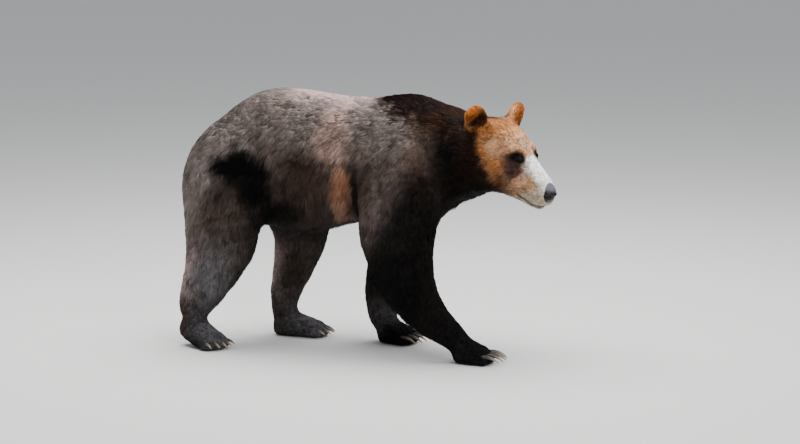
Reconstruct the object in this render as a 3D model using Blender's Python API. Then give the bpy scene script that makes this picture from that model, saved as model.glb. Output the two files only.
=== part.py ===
"""A grizzly bear in mid stride, life size, as a still model in named parts.

Frame: +X towards the bear's head, +Y to its left, +Z up, in metres. The origin is on the floor, under the middle
of the bear's box. The solids give the outline out to the tips of the coat.

The body is modelled whole: lofts and ellipsoids for the trunk, neck, head and limbs are fused into one closed
surface, which is then parted by thin cuts into the pieces that a person would name.
"""

import math

import bmesh
import bpy
from mathutils import Matrix, Vector
from mathutils.bvhtree import BVHTree

# Driving dimensions, in metres and degrees.
CUT_GAP = 0.0004  # the thin cut between two neighbouring pieces
RING_SIDES = 16
FUSE_VOXEL = 0.011  # grain at which the big masses of the body are fused
DETAIL_VOXEL = 0.0055  # grain at which head, ears and paws join them
BODY_TRIANGLES = 3850
FLAT_WITHIN = 1.5  # degrees between faces that count as one flat face
SPINE_Z = 0.72  # the level that the trunk's heights are measured from

HEAD_AT = Vector((0.552, -0.016, 0.800))  # between the ears, at the level of the muzzle's axis
HEAD_YAW = -19.5  # turned to the bear's right
HEAD_PITCH = 27.0  # nose down
HEAD_ROLL = 1.5  # right ear a little higher

# Ears are turned one by one: the right one, -1, listens to the side, and the left one, 1, is pricked ahead.
EAR_AT = {-1: Vector((0.000, -0.117, 0.115)), 1: Vector((0.010, 0.121, 0.113))}  # their middles in the head's frame
EAR_RADIUS = 0.048
EAR_THICKNESS = 0.028
EAR_LEAN = 14.0  # outward, in degrees
EAR_BACK = 20.0  # tipped back, which sets the ears upright on the lowered head
EAR_FACING = {-1: 38.0, 1: 10.0}  # turned outward, in degrees
EAR_CUP = 1.25  # how deep the ear is hollowed, in shares of its thickness
EYE_AT = Vector((0.199, 0.056, 0.060))  # left eye's place in the head's frame
EYE_RADIUS = 0.0108
EYE_DEPTH = 0.8  # how far the eyeball's middle lies under the surface, in shares of its radius
EYE_LOOKS = Vector((0.35, 0.90, 0.12))  # which way the left eye looks out of the head
MOUTH_Z = -0.066  # the lips' level in the head's frame

EYE_CLEAR = 0.10  # a distance from the eye that is surely outside the head

SIDES = (("left", 1), ("right", -1))
TOES = 5
FORE_CLAW = 0.056  # length along the curve
HIND_CLAW = 0.032


def clear_scene():
    for obj in list(bpy.data.objects):
        bpy.data.objects.remove(obj, do_unlink=True)


def material(name, colour, roughness, metallic=0.0):
    made = bpy.data.materials.new(name)
    made.use_nodes = True
    shader = made.node_tree.nodes["Principled BSDF"]
    shader.inputs["Base Color"].default_value = (*colour, 1.0)
    shader.inputs["Roughness"].default_value = roughness
    shader.inputs["Metallic"].default_value = metallic
    made.diffuse_color = (*colour, 1.0)
    return made


def object_from(name, bm):
    """A new object in the scene that holds this bmesh."""
    bmesh.ops.recalc_face_normals(bm, faces=bm.faces)
    mesh = bpy.data.meshes.new(name)
    bm.to_mesh(mesh)
    bm.free()
    obj = bpy.data.objects.new(name, mesh)
    bpy.context.scene.collection.objects.link(obj)
    return obj


def super_round(angle, squareness):
    """A point of the unit superellipse: squareness 2 is a circle, more is boxier."""
    cosine, sine = math.cos(angle), math.sin(angle)
    power = 2.0 / squareness
    return (
        math.copysign(abs(cosine) ** power, cosine),
        math.copysign(abs(sine) ** power, sine),
    )


def loft(name, stations, up, squareness=2.2, smooth_levels=2, sides=RING_SIDES):
    """A closed body through rings along a path.

    Each station is (x, y, z, half width, reach towards up, reach away from up). The rings stand square to the path.
    """
    bm = bmesh.new()
    centres = [Vector(station[:3]) for station in stations]
    last = len(centres) - 1
    rings = []
    for i, (_, _, _, side, above, below) in enumerate(stations):
        along = (centres[min(i + 1, last)] - centres[max(i - 1, 0)]).normalized()
        across = Vector(up).cross(along).normalized()
        upward = along.cross(across)
        ring = bmesh.ops.create_circle(bm, segments=sides, radius=1.0)["verts"]
        for k, vert in enumerate(ring):
            wide, high = super_round(2 * math.pi * k / sides, squareness)
            reach = above if high > 0 else below
            vert.co = centres[i] + across * (side * wide) + upward * (reach * high)
        rings.append({edge for vert in ring for edge in vert.link_edges})
    for first, second in zip(rings, rings[1:]):
        bmesh.ops.bridge_loops(bm, edges=list(first | second))
    open_ends = [edge for edge in bm.edges if edge.is_boundary]
    bmesh.ops.holes_fill(bm, edges=open_ends, sides=0)
    obj = object_from(name, bm)
    if smooth_levels:
        rounding = obj.modifiers.new("rounding", "SUBSURF")
        rounding.levels = rounding.render_levels = smooth_levels
    return obj


def ellipsoid(name, centre, radii, turn=Matrix.Identity(3)):
    bm = bmesh.new()
    bmesh.ops.create_icosphere(bm, subdivisions=4, radius=1.0)
    shape = Matrix.Translation(centre) @ turn.to_4x4() @ Matrix.Diagonal((*radii, 1.0))
    bmesh.ops.transform(bm, matrix=shape, verts=bm.verts)
    return object_from(name, bm)


def turned(yaw=0.0, pitch=0.0, roll=0.0):
    """A rotation: roll about X (right side up), then pitch (nose down), then yaw about Z (to the left)."""
    return (
        Matrix.Rotation(math.radians(yaw), 3, "Z")
        @ Matrix.Rotation(math.radians(pitch), 3, "Y")
        @ Matrix.Rotation(math.radians(-roll), 3, "X")
    )


def shaped_mesh(obj):
    """The object's mesh with its modifiers applied, in world space."""
    bpy.context.view_layer.update()
    graph = bpy.context.evaluated_depsgraph_get()
    mesh = bpy.data.meshes.new_from_object(obj.evaluated_get(graph))
    mesh.transform(obj.matrix_world)
    return mesh


def fused(name, parts, voxel, smoothing, steps):
    """The parts as one closed surface, remeshed at the voxel's grain and smoothed."""
    bm = bmesh.new()
    for part in parts:
        mesh = shaped_mesh(part)
        bm.from_mesh(mesh)
        bpy.data.meshes.remove(mesh)
        bpy.data.objects.remove(part, do_unlink=True)
    obj = object_from(name, bm)
    remesh = obj.modifiers.new("fuse", "REMESH")
    remesh.mode = "VOXEL"
    remesh.voxel_size = voxel
    smooth = obj.modifiers.new("blend", "SMOOTH")
    smooth.factor = smoothing
    smooth.iterations = steps
    mesh = shaped_mesh(obj)
    obj.modifiers.clear()
    obj.data = mesh
    return obj


# The trunk's rings: x, half width, height of the back, height of the belly.
TRUNK = [
    (-0.566, 0.080, 0.735, 0.620),
    (-0.532, 0.122, 0.792, 0.570),
    (-0.462, 0.164, 0.872, 0.530),
    (-0.380, 0.196, 0.942, 0.485),
    (-0.290, 0.214, 0.978, 0.456),
    (-0.190, 0.226, 0.976, 0.438),
    (-0.090, 0.235, 0.962, 0.448),
    (0.010, 0.238, 0.950, 0.474),
    (0.100, 0.234, 0.946, 0.492),
    (0.170, 0.224, 0.956, 0.496),
    (0.240, 0.210, 0.974, 0.488),
    (0.310, 0.192, 0.976, 0.490),
    (0.370, 0.172, 0.955, 0.505),
    (0.420, 0.145, 0.915, 0.545),
    (0.450, 0.098, 0.860, 0.610),
]


def trunk():
    stations = [
        (x, 0.0, SPINE_Z, side, back - SPINE_Z, SPINE_Z - belly)
        for x, side, back, belly in TRUNK
    ]
    return [loft("trunk", stations, (0, 0, 1), squareness=2.15)]


def neck():
    stations = [
        (0.300, 0.000, 0.745, 0.165, 0.205, 0.200),
        (0.390, -0.002, 0.752, 0.160, 0.196, 0.188),
        (0.460, -0.006, 0.756, 0.152, 0.172, 0.172),
        (0.530, -0.016, 0.760, 0.146, 0.138, 0.158),
        (0.590, -0.030, 0.762, 0.132, 0.104, 0.136),
    ]
    return [loft("neck", stations, (0, 0, 1), squareness=2.1)]


def tail():
    stations = [
        (-0.510, 0.0, 0.790, 0.036, 0.036, 0.036),
        (-0.562, 0.0, 0.758, 0.038, 0.030, 0.030),
        (-0.592, 0.0, 0.712, 0.032, 0.025, 0.025),
        (-0.602, 0.0, 0.665, 0.018, 0.014, 0.014),
    ]
    return [loft("tail", stations, (0, 0, 1), squareness=2.0)]


# Each leg's rings from the top down: x, distance from the midplane, z, half width, reach forward, reach back.
RIGHT_FORELEG = [
    (0.235, 0.110, 0.900, 0.050, 0.070, 0.080),
    (0.268, 0.150, 0.800, 0.074, 0.110, 0.120),
    (0.292, 0.168, 0.690, 0.088, 0.138, 0.160),
    (0.294, 0.184, 0.580, 0.090, 0.152, 0.185),
    (0.288, 0.188, 0.480, 0.088, 0.148, 0.178),
    (0.292, 0.186, 0.390, 0.082, 0.128, 0.146),
    (0.318, 0.184, 0.300, 0.072, 0.106, 0.118),
    (0.362, 0.172, 0.215, 0.062, 0.086, 0.100),
    (0.425, 0.160, 0.140, 0.056, 0.066, 0.074),
    (0.495, 0.150, 0.082, 0.054, 0.052, 0.048),
    (0.540, 0.144, 0.055, 0.050, 0.040, 0.038),
]
LEFT_FORELEG = [
    (0.225, 0.110, 0.900, 0.050, 0.070, 0.080),
    (0.240, 0.150, 0.800, 0.074, 0.110, 0.120),
    (0.240, 0.168, 0.690, 0.088, 0.138, 0.155),
    (0.212, 0.184, 0.580, 0.090, 0.145, 0.165),
    (0.176, 0.187, 0.480, 0.086, 0.132, 0.150),
    (0.144, 0.188, 0.390, 0.078, 0.110, 0.122),
    (0.118, 0.178, 0.300, 0.068, 0.092, 0.100),
    (0.098, 0.166, 0.210, 0.060, 0.076, 0.084),
    (0.090, 0.154, 0.130, 0.055, 0.064, 0.072),
    (0.098, 0.146, 0.072, 0.052, 0.055, 0.052),
    (0.118, 0.142, 0.040, 0.048, 0.040, 0.036),
]
RIGHT_HINDLEG = [
    (-0.350, 0.080, 0.850, 0.060, 0.130, 0.100),
    (-0.380, 0.120, 0.770, 0.088, 0.175, 0.150),
    (-0.408, 0.146, 0.685, 0.098, 0.180, 0.180),
    (-0.424, 0.156, 0.580, 0.100, 0.170, 0.180),
    (-0.420, 0.166, 0.480, 0.096, 0.160, 0.160),
    (-0.428, 0.176, 0.390, 0.088, 0.142, 0.145),
    (-0.462, 0.176, 0.300, 0.076, 0.112, 0.115),
    (-0.510, 0.172, 0.215, 0.062, 0.086, 0.088),
    (-0.548, 0.166, 0.145, 0.054, 0.072, 0.066),
    (-0.570, 0.160, 0.105, 0.048, 0.058, 0.050),
]
LEFT_HINDLEG = [
    (-0.335, 0.080, 0.850, 0.060, 0.130, 0.100),
    (-0.335, 0.120, 0.770, 0.088, 0.175, 0.160),
    (-0.318, 0.146, 0.690, 0.098, 0.170, 0.185),
    (-0.280, 0.156, 0.590, 0.100, 0.150, 0.175),
    (-0.240, 0.164, 0.490, 0.094, 0.132, 0.150),
    (-0.232, 0.172, 0.400, 0.084, 0.110, 0.125),
    (-0.252, 0.168, 0.310, 0.072, 0.088, 0.100),
    (-0.284, 0.162, 0.225, 0.060, 0.070, 0.078),
    (-0.310, 0.156, 0.150, 0.052, 0.062, 0.060),
    (-0.312, 0.150, 0.085, 0.048, 0.060, 0.048),
    (-0.300, 0.148, 0.045, 0.046, 0.050, 0.040),
]


def leg(name, rings, hand):
    """One leg's flesh. hand is +1 on the left and -1 on the right."""
    stations = [(x, hand * y, z, side, fore, back) for x, y, z, side, fore, back in rings]
    return loft(name, stations, (1, 0, 0), squareness=2.15)


class Paw:
    """A foot's frame: where its heel is, which way it points, and its size."""

    def __init__(self, name, heel, yaw, length, width, lift, claw, claw_rise):
        self.name = name
        self.heel = Vector(heel)
        self.turn = turned(yaw=yaw)
        self.length = length  # heel to the toes' tips, without claws
        self.width = width
        self.lift = lift  # how far the heel is off the floor
        self.claw = claw
        self.claw_rise = claw_rise  # height of the claws' roots

    def at(self, along, across, up):
        """A point: along the foot in shares of its length, across it in shares of its width, up in metres."""
        local = Vector((along * self.length, across * self.width, 0.0))
        return self.heel + self.turn @ local + Vector((0.0, 0.0, up))

    def toe_places(self):
        """(share along, share across, fan angle in degrees) of each toe's knuckle, from the right toe to the left."""
        for i in range(TOES):
            spread = i / (TOES - 1) * 2 - 1
            yield 0.875 - 0.085 * spread**2, 0.41 * spread, 10.0 * spread


PAWS = {
    "fore_right": Paw("fore_right", (0.478, -0.152, 0), 7.0, 0.150, 0.140, 0.0, FORE_CLAW, 0.034),
    "fore_left": Paw("fore_left", (0.082, 0.142, 0), -6.0, 0.150, 0.140, 0.0, FORE_CLAW, 0.034),
    "hind_right": Paw("hind_right", (-0.598, -0.146, 0), -24.0, 0.218, 0.128, 0.045, HIND_CLAW, 0.028),
    "hind_left": Paw("hind_left", (-0.352, 0.142, 0), 6.0, 0.225, 0.128, 0.0, HIND_CLAW, 0.028),
}


# The sole's rings: share of the length, height, half width as a share of the paw's, reach up, reach down.
SOLE = [
    (0.02, 0.030, 0.30, 0.036, 0.034),
    (0.14, 0.032, 0.40, 0.060, 0.040),
    (0.38, 0.032, 0.45, 0.062, 0.042),
    (0.62, 0.030, 0.49, 0.050, 0.042),
    (0.80, 0.026, 0.48, 0.036, 0.036),
    (0.88, 0.022, 0.42, 0.024, 0.030),
]
TOE_RADII = (0.034, 0.0175, 0.026)
TOE_Z = 0.022


def paw_flesh(paw):
    """The pad and the toes of one foot. A lifted heel lifts the sole's rings towards the back."""
    rings = []
    for along, height, side, above, below in SOLE:
        lift = paw.lift * max(0.0, 1.0 - along / 0.62)
        rings.append((*paw.at(along, 0.0, height + lift), paw.width * side, above, below))
    yield loft(paw.name + "_sole", rings, (0, 0, 1), squareness=2.3)
    for along, across, fan in paw.toe_places():
        turn = paw.turn @ turned(yaw=fan, pitch=12.0)
        yield ellipsoid(paw.name + "_toe", paw.at(along, across, TOE_Z), TOE_RADII, turn)


HEAD_FRAME = (
    Matrix.Translation(HEAD_AT) @ turned(HEAD_YAW, HEAD_PITCH, HEAD_ROLL).to_4x4()
)


def in_head(parts):
    """Moves parts that were modelled in the head's own frame to their place on the bear."""
    for part in parts:
        part.data.transform(HEAD_FRAME)
    return parts


# The skull's and muzzle's rings in the head's frame: x, half width, height of the top, depth of the underside.
SKULL = [
    (-0.080, 0.098, 0.070, 0.130),
    (-0.030, 0.126, 0.104, 0.165),
    (0.030, 0.138, 0.120, 0.168),
    (0.085, 0.130, 0.124, 0.148),
    (0.130, 0.113, 0.114, 0.124),
    (0.172, 0.092, 0.092, 0.108),
    (0.210, 0.073, 0.068, 0.095),
    (0.250, 0.062, 0.056, 0.084),
    (0.295, 0.054, 0.042, 0.074),
    (0.335, 0.047, 0.028, 0.066),
    (0.356, 0.037, 0.018, 0.054),
]
# The lower jaw's rings about a line at the lips' level: x, half width, reach up, reach down.
LOWER_JAW = [
    (0.080, 0.072, 0.040, 0.070),
    (0.140, 0.060, 0.036, 0.054),
    (0.190, 0.050, 0.030, 0.040),
    (0.240, 0.042, 0.026, 0.028),
    (0.290, 0.036, 0.022, 0.020),
    (0.330, 0.031, 0.018, 0.014),
    (0.350, 0.021, 0.010, 0.006),
]


def ear_frame(hand):
    """The ear's own frame in the head's: X out of the cup, Z to the tip. hand is +1 on the left, -1 on the right."""
    lean = Matrix.Rotation(math.radians(-EAR_LEAN * hand), 4, "X")
    facing = Matrix.Rotation(math.radians(EAR_FACING[hand] * hand), 4, "Z")
    upright = Matrix.Rotation(math.radians(-EAR_BACK), 4, "Y")
    return Matrix.Translation(EAR_AT[hand]) @ upright @ lean @ facing


def ear(hand):
    """A cupped round ear in the head's frame, leaning out and opening forward, and the broad root behind its cup."""
    place = ear_frame(hand)
    bm = bmesh.new()
    bmesh.ops.create_icosphere(bm, subdivisions=4, radius=1.0)
    for vert in bm.verts:
        from_middle = math.hypot(vert.co.y, vert.co.z + 0.15)
        if vert.co.x > 0:
            vert.co.x -= EAR_CUP * max(0.0, 1.0 - (from_middle / 0.84) ** 2)
    radii = Matrix.Diagonal((EAR_THICKNESS, EAR_RADIUS, EAR_RADIUS * 1.04, 1.0))
    bmesh.ops.transform(bm, matrix=place @ radii, verts=bm.verts)
    cup = object_from("ear", bm)
    root = ellipsoid("ear_root", (-0.014, 0.0, -0.042), (0.024, 0.050, 0.036))
    root.data.transform(place)
    return [cup, root]


def head():
    skull = [(x, 0, 0, side, top, under) for x, side, top, under in SKULL]
    jaw = [(x, 0, MOUTH_Z, side, top, under) for x, side, top, under in LOWER_JAW]
    parts = [
        loft("skull", skull, (0, 0, 1), squareness=2.3),
        loft("jaw", jaw, (0, 0, 1), squareness=2.2),
        ellipsoid("nose", (0.346, 0, -0.006), (0.026, 0.034, 0.027)),
    ]
    for _, hand in SIDES:
        cheek_turn = turned(yaw=-16.0 * hand)
        brow_turn = turned(yaw=-24.0 * hand, pitch=20.0)
        parts += [
            ellipsoid("cheek", (0.070, 0.078 * hand, -0.050), (0.095, 0.060, 0.095), cheek_turn),
            ellipsoid("zygoma", (0.145, 0.068 * hand, 0.010), (0.066, 0.032, 0.040), cheek_turn),
            ellipsoid("brow", (0.168, 0.046 * hand, 0.066), (0.046, 0.026, 0.022), brow_turn),
            ellipsoid("flews", (0.312, 0.024 * hand, -0.040), (0.046, 0.024, 0.030)),
        ]
        parts += ear(hand)
    return in_head(parts)


def whole_body():
    masses = trunk() + neck() + tail()
    masses += [
        leg("fore_right", RIGHT_FORELEG, -1),
        leg("fore_left", LEFT_FORELEG, 1),
        leg("hind_right", RIGHT_HINDLEG, -1),
        leg("hind_left", LEFT_HINDLEG, 1),
    ]
    body = fused("masses", masses, FUSE_VOXEL, 0.5, 14)
    details = head()
    for paw in PAWS.values():
        details += list(paw_flesh(paw))
    return fused("body", [body] + details, DETAIL_VOXEL, 0.5, 5)


def decimated(obj, triangles):
    thinned = obj.modifiers.new("thin", "DECIMATE")
    obj.data.calc_loop_triangles()
    thinned.ratio = triangles / len(obj.data.loop_triangles)
    mesh = shaped_mesh(obj)
    obj.modifiers.clear()
    obj.data = mesh
    return obj


def half_of(obj, point, normal, name, keep_front, shift=0.0):
    """The part of obj on one side of a plane, closed where it was cut. shift moves the plane away from the kept side."""
    bm = bmesh.new()
    bm.from_mesh(obj.data)
    normal = Vector(normal).normalized()
    if not keep_front:
        normal = -normal
    cut = bmesh.ops.bisect_plane(
        bm,
        geom=bm.verts[:] + bm.edges[:] + bm.faces[:],
        dist=1e-6,
        plane_co=Vector(point) + normal * shift,
        plane_no=normal,
        clear_inner=True,
    )
    rim = [item for item in cut["geom_cut"] if isinstance(item, bmesh.types.BMEdge)]
    bmesh.ops.holes_fill(bm, edges=rim, sides=0)
    bmesh.ops.triangulate(bm, faces=[face for face in bm.faces if len(face.verts) > 3])
    return object_from(name, bm)


def split(obj, point, normal, front_name, back_name):
    """Parts obj at a plane, leaving the thin gap, into the piece that the normal points to and the one behind."""
    front = half_of(obj, point, normal, front_name, True, CUT_GAP / 2)
    back = half_of(obj, point, normal, back_name, False, CUT_GAP / 2)
    bpy.data.objects.remove(obj, do_unlink=True)
    return front, back


def hull(name, points, grow=0.0):
    """The convex cutter around some points, swelled by about grow on every side."""
    bm = bmesh.new()
    middle = sum((Vector(p) for p in points), Vector()) / len(points)
    for point in points:
        outward = Vector(point) - middle
        swell = Vector([math.copysign(grow, value) for value in outward])
        bm.verts.new(Vector(point) + swell)
    bmesh.ops.convex_hull(bm, input=bm.verts)
    return object_from(name, bm)


def boolean(obj, cutter, operation):
    """obj with the cutter's shape taken off it (DIFFERENCE) or only what lies inside the cutter kept (INTERSECT)."""
    cutter.hide_render = True
    cutter.display_type = "WIRE"
    modifier = obj.modifiers.new("cut", "BOOLEAN")
    modifier.operation = operation
    modifier.object = cutter
    mesh = shaped_mesh(obj)
    obj.modifiers.clear()
    obj.data = mesh
    return obj


def part_off(obj, points, name):
    """Takes what lies inside a convex cell off obj, as a new piece with a thin gap all round."""
    piece = bpy.data.objects.new(name, obj.data.copy())
    bpy.context.scene.collection.objects.link(piece)
    cell = hull(name + "_cell", points)
    boolean(piece, cell, "INTERSECT")
    wider = hull(name + "_cell_wide", points, CUT_GAP)
    boolean(obj, wider, "DIFFERENCE")
    for cutter in (cell, wider):
        bpy.data.objects.remove(cutter, do_unlink=True)
    return piece


def leg_cell(hand, low, high, armpit, shoulder):
    """Eight corners round one leg. low and high are (rear x, front x) at the floor and at the shoulder's level.

    armpit and shoulder are (distance from the midplane, z) of the slanting face that parts leg from trunk.
    """
    floor, outer = -0.05, 0.45
    corners = []
    for across, top in (armpit, shoulder, (outer, shoulder[1] + 0.06)):
        share = top / shoulder[1]
        for bottom_x, top_x in zip(low, high):
            corners.append((bottom_x, hand * across, floor))
            corners.append((bottom_x + (top_x - bottom_x) * share, hand * across, top))
    return corners


LEG_CELLS = {
    "fore_right": leg_cell(-1, (0.02, 0.86), (0.06, 0.50), (0.03, 0.440), (0.24, 0.800)),
    "fore_left": leg_cell(1, (-0.04, 0.60), (0.02, 0.46), (0.03, 0.440), (0.24, 0.800)),
    "hind_right": leg_cell(-1, (-0.90, -0.22), (-0.80, -0.22), (0.03, 0.450), (0.22, 0.860)),
    "hind_left": leg_cell(1, (-0.80, -0.01), (-0.80, -0.14), (0.03, 0.450), (0.22, 0.860)),
}
# Where each leg is parted again: (point, normal towards the upper piece), at the elbow or knee and at the ankle.
LEG_JOINTS = {
    "fore_right": (((0.300, 0, 0.385), (-0.25, 0, 1)), ((0.470, 0, 0.108), (-1.0, 0, 0.75))),
    "fore_left": (((0.150, 0, 0.395), (0.25, 0, 1)), ((0.098, 0, 0.105), (0, 0, 1))),
    "hind_right": (((-0.430, 0, 0.400), (-0.15, 0, 1)), ((-0.545, 0, 0.140), (0.30, 0, 1))),
    "hind_left": (((-0.240, 0, 0.420), (0.05, 0, 1)), ((-0.300, 0, 0.115), (0, 0, 1))),
}
LEG_PIECES = {
    "fore": ("shoulder_and_upper_arm", "forearm", "forepaw"),
    "hind": ("thigh", "shank", "hind_foot"),
}


def named_leg_pieces(where):
    end, hand = where.split("_")
    return [f"{piece}_{hand}" for piece in LEG_PIECES[end]]


def part_leg(body, where):
    """Takes one leg off the body and parts it into its upper piece, lower piece and foot."""
    upper_name, lower_name, foot_name = named_leg_pieces(where)
    whole = part_off(body, LEG_CELLS[where], "leg_" + where)
    (knee, knee_normal), (ankle, ankle_normal) = LEG_JOINTS[where]
    upper, rest = split(whole, knee, knee_normal, upper_name, "rest")
    lower, foot = split(rest, ankle, ankle_normal, lower_name, foot_name)
    return [upper, lower, foot]


def cell_in(frame, low, high):
    """The corners of a box given in a frame of its own."""
    return [
        frame @ Vector((x, y, z))
        for x in (low[0], high[0])
        for y in (low[1], high[1])
        for z in (low[2], high[2])
    ]


NECK_AT = Vector((0.425, 0.0, 0.750))  # where neck and trunk part, in front of the hump
NECK_NORMAL = Vector((1.0, 0.0, 0.10))
NAPE_AT = Vector((-0.052, 0.0, 0.120))  # where head and neck part, behind the ears
NAPE_NORMAL = Vector((0.89, 0.0, 0.46))
EAR_FOOT = (0.026, 0.048, -0.036)  # the ear cell's half thickness, half width and level where it meets the skull
EAR_TOP = (0.060, 0.080, 0.090)  # and the same above the ear's tip
NOSE_CELL = ((0.335, -0.060, -0.040), (0.420, 0.060, 0.060))
JAW_CELL = ((0.115, -0.120, -0.240), (0.420, 0.120, MOUTH_Z))
TAIL_CELL = [(x, y, z) for x in (-0.720, -0.578) for y in (-0.060, 0.060) for z in (0.600, 0.792)]


def part_trunk(rest):
    """Parts what the legs leave behind into trunk, tail, neck and head."""
    tail_piece = part_off(rest, TAIL_CELL, "tail")
    front, trunk_piece = split(rest, NECK_AT, NECK_NORMAL, "front", "trunk")
    nape_normal = HEAD_FRAME.to_3x3() @ NAPE_NORMAL
    head_piece, neck_piece = split(front, HEAD_FRAME @ NAPE_AT, nape_normal, "head", "neck")
    return trunk_piece, tail_piece, neck_piece, head_piece


def eye_place(skull_tree, hand):
    """Where an eyeball sits: sunk in the head's surface, with a tenth of its width standing out."""
    mirror = Matrix.Diagonal((1.0, hand, 1.0))
    outward = mirror @ EYE_LOOKS.normalized()
    start = HEAD_FRAME @ (mirror @ EYE_AT + outward * EYE_CLEAR)
    inward = -(HEAD_FRAME.to_3x3() @ outward)
    surface = skull_tree.ray_cast(start, inward)[0]
    return surface + inward * (EYE_RADIUS * EYE_DEPTH)


def part_face(head_piece):
    """Parts ears, nose and lower jaw off the head, and sets the eyes in sockets."""
    tree = BVHTree.FromPolygons(
        [vert.co for vert in head_piece.data.vertices],
        [face.vertices for face in head_piece.data.polygons],
    )
    pieces = []
    for side, hand in SIDES:
        corners = [
            HEAD_FRAME @ ear_frame(hand) @ Vector((x * thick, y * wide, level))
            for thick, wide, level in (EAR_FOOT, EAR_TOP)
            for x in (-1, 1)
            for y in (-1, 1)
        ]
        pieces.append(part_off(head_piece, corners, "ear_" + side))
    pieces.append(part_off(head_piece, cell_in(HEAD_FRAME, *NOSE_CELL), "nose"))
    pieces.append(part_off(head_piece, cell_in(HEAD_FRAME, *JAW_CELL), "lower_jaw"))
    for side, hand in SIDES:
        middle = eye_place(tree, hand)
        socket = ball("socket", middle, EYE_RADIUS + CUT_GAP)
        boolean(head_piece, socket, "DIFFERENCE")
        bpy.data.objects.remove(socket, do_unlink=True)
        pieces.append(ball("eye_" + side, middle, EYE_RADIUS))
    return pieces


def ball(name, middle, radius):
    bm = bmesh.new()
    bmesh.ops.create_icosphere(bm, subdivisions=2, radius=radius)
    bmesh.ops.translate(bm, vec=middle, verts=bm.verts)
    return object_from(name, bm)


CLAW_ROOT = 0.022  # how much of a claw sits in its toe
CLAW_STEPS = 4
CLAW_RADIUS = 0.0072
CLAW_RISE = 8.0  # the root's slope in degrees
CLAW_BEND = 58.0  # how far the claw curves down to its tip


def claw(paw, along, across, fan, name, grow=0.0):
    """A curved claw that tapers to its tip. grow thickens it, for the socket that it sits in."""
    forward = paw.turn @ turned(yaw=fan) @ Vector((1, 0, 0))
    centre = paw.at(along, across, paw.claw_rise) - forward * grow
    step = (paw.claw + CLAW_ROOT) / CLAW_STEPS
    stations = []
    for i in range(CLAW_STEPS + 1):
        share = i / CLAW_STEPS
        slope = math.radians(CLAW_RISE - CLAW_BEND * share)
        thick = CLAW_RADIUS * (1.0 - share) ** 0.6 + 0.0012 + grow
        stations.append((*centre, thick * 0.75, thick, thick))
        centre = centre + (forward * math.cos(slope) + Vector((0, 0, math.sin(slope)))) * step
    return loft(name, stations, (0, 0, 1), squareness=2.0, sides=6, smooth_levels=0)


def add_claws(foot, paw):
    """Five claws, each rooted in a socket in the foot."""
    claws = []
    for number, (along, across, fan) in enumerate(paw.toe_places(), start=1):
        socket = claw(paw, along, across, fan, "socket", CUT_GAP)
        boolean(foot, socket, "DIFFERENCE")
        bpy.data.objects.remove(socket, do_unlink=True)
        claws.append(claw(paw, along, across, fan, f"claw_{foot.name}_{number}"))
    return claws


def tidied(obj):
    """Keeps only the biggest connected body of a piece, with its flat faces merged: a cut leaves slivers behind."""
    bm = bmesh.new()
    bm.from_mesh(obj.data)
    unseen = set(bm.verts)
    bodies = []
    while unseen:
        stack = [unseen.pop()]
        body = set(stack)
        while stack:
            for edge in stack.pop().link_edges:
                for vert in edge.verts:
                    if vert in unseen:
                        unseen.remove(vert)
                        body.add(vert)
                        stack.append(vert)
        bodies.append(body)
    bodies.sort(key=len)
    slivers = [vert for body in bodies[:-1] for vert in body]
    bmesh.ops.delete(bm, geom=slivers, context="VERTS")
    bmesh.ops.dissolve_limit(bm, angle_limit=math.radians(FLAT_WITHIN), verts=bm.verts, edges=bm.edges)
    bmesh.ops.triangulate(bm, faces=[face for face in bm.faces if len(face.verts) > 3])
    bm.to_mesh(obj.data)
    bm.free()
    if slivers:
        print(obj.name, "dropped", len(slivers), "sliver vertices")


def cut_soles(body):
    """Cuts every foot flat at the floor's level."""
    flat = half_of(body, (0, 0, 0), (0, 0, 1), "body_on_floor", True)
    bpy.data.objects.remove(body, do_unlink=True)
    return flat


def colour(pieces, finish):
    for piece in pieces:
        piece.data.materials.clear()
        piece.data.materials.append(finish)


def set_on_origin(pieces):
    """Moves the pieces so that the origin is on the floor, under the middle of the bear's box."""
    points = [vert.co for piece in pieces for vert in piece.data.vertices]
    middle = Vector()
    for axis in (0, 1):
        values = [point[axis] for point in points]
        middle[axis] = (min(values) + max(values)) / 2
    middle.z = min(point.z for point in points)
    for piece in pieces:
        piece.data.transform(Matrix.Translation(-middle))
    print("moved by", [round(value, 5) for value in -middle])


def main():
    clear_scene()
    body = cut_soles(decimated(whole_body(), BODY_TRIANGLES))
    legs = {where: part_leg(body, where) for where in LEG_CELLS}
    trunk_piece, tail_piece, neck_piece, head_piece = part_trunk(body)
    face = part_face(head_piece)
    claws = []
    for where, paw in PAWS.items():
        claws += add_claws(legs[where][-1], paw)
    flesh = [trunk_piece, tail_piece, neck_piece, head_piece]
    flesh += [piece for pieces in legs.values() for piece in pieces]
    by_name = {piece.name: piece for piece in face}
    ears = [by_name["ear_left"], by_name["ear_right"]]
    eyes = [by_name["eye_left"], by_name["eye_right"]]
    for piece in flesh + [by_name["nose"], by_name["lower_jaw"]] + ears:
        tidied(piece)
    limbs = [piece for pieces in legs.values() for piece in pieces]
    colour([trunk_piece, tail_piece, neck_piece], material("coat_brown", (0.060, 0.040, 0.031), 0.80))
    colour(limbs, material("coat_dark_brown", (0.028, 0.021, 0.018), 0.80))
    colour([head_piece, by_name["lower_jaw"]], material("coat_tan", (0.360, 0.190, 0.090), 0.80))
    colour(ears, material("coat_orange", (0.400, 0.150, 0.040), 0.85))
    colour([by_name["nose"]], material("nose_skin", (0.015, 0.014, 0.015), 0.40))
    colour(eyes, material("eye_surface", (0.020, 0.010, 0.006), 0.06))
    colour(claws, material("claw_horn", (0.170, 0.140, 0.110), 0.35))
    pieces = flesh + face + claws
    for piece in pieces:
        for polygon in piece.data.polygons:
            polygon.use_smooth = True
    set_on_origin(pieces)


main()
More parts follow.
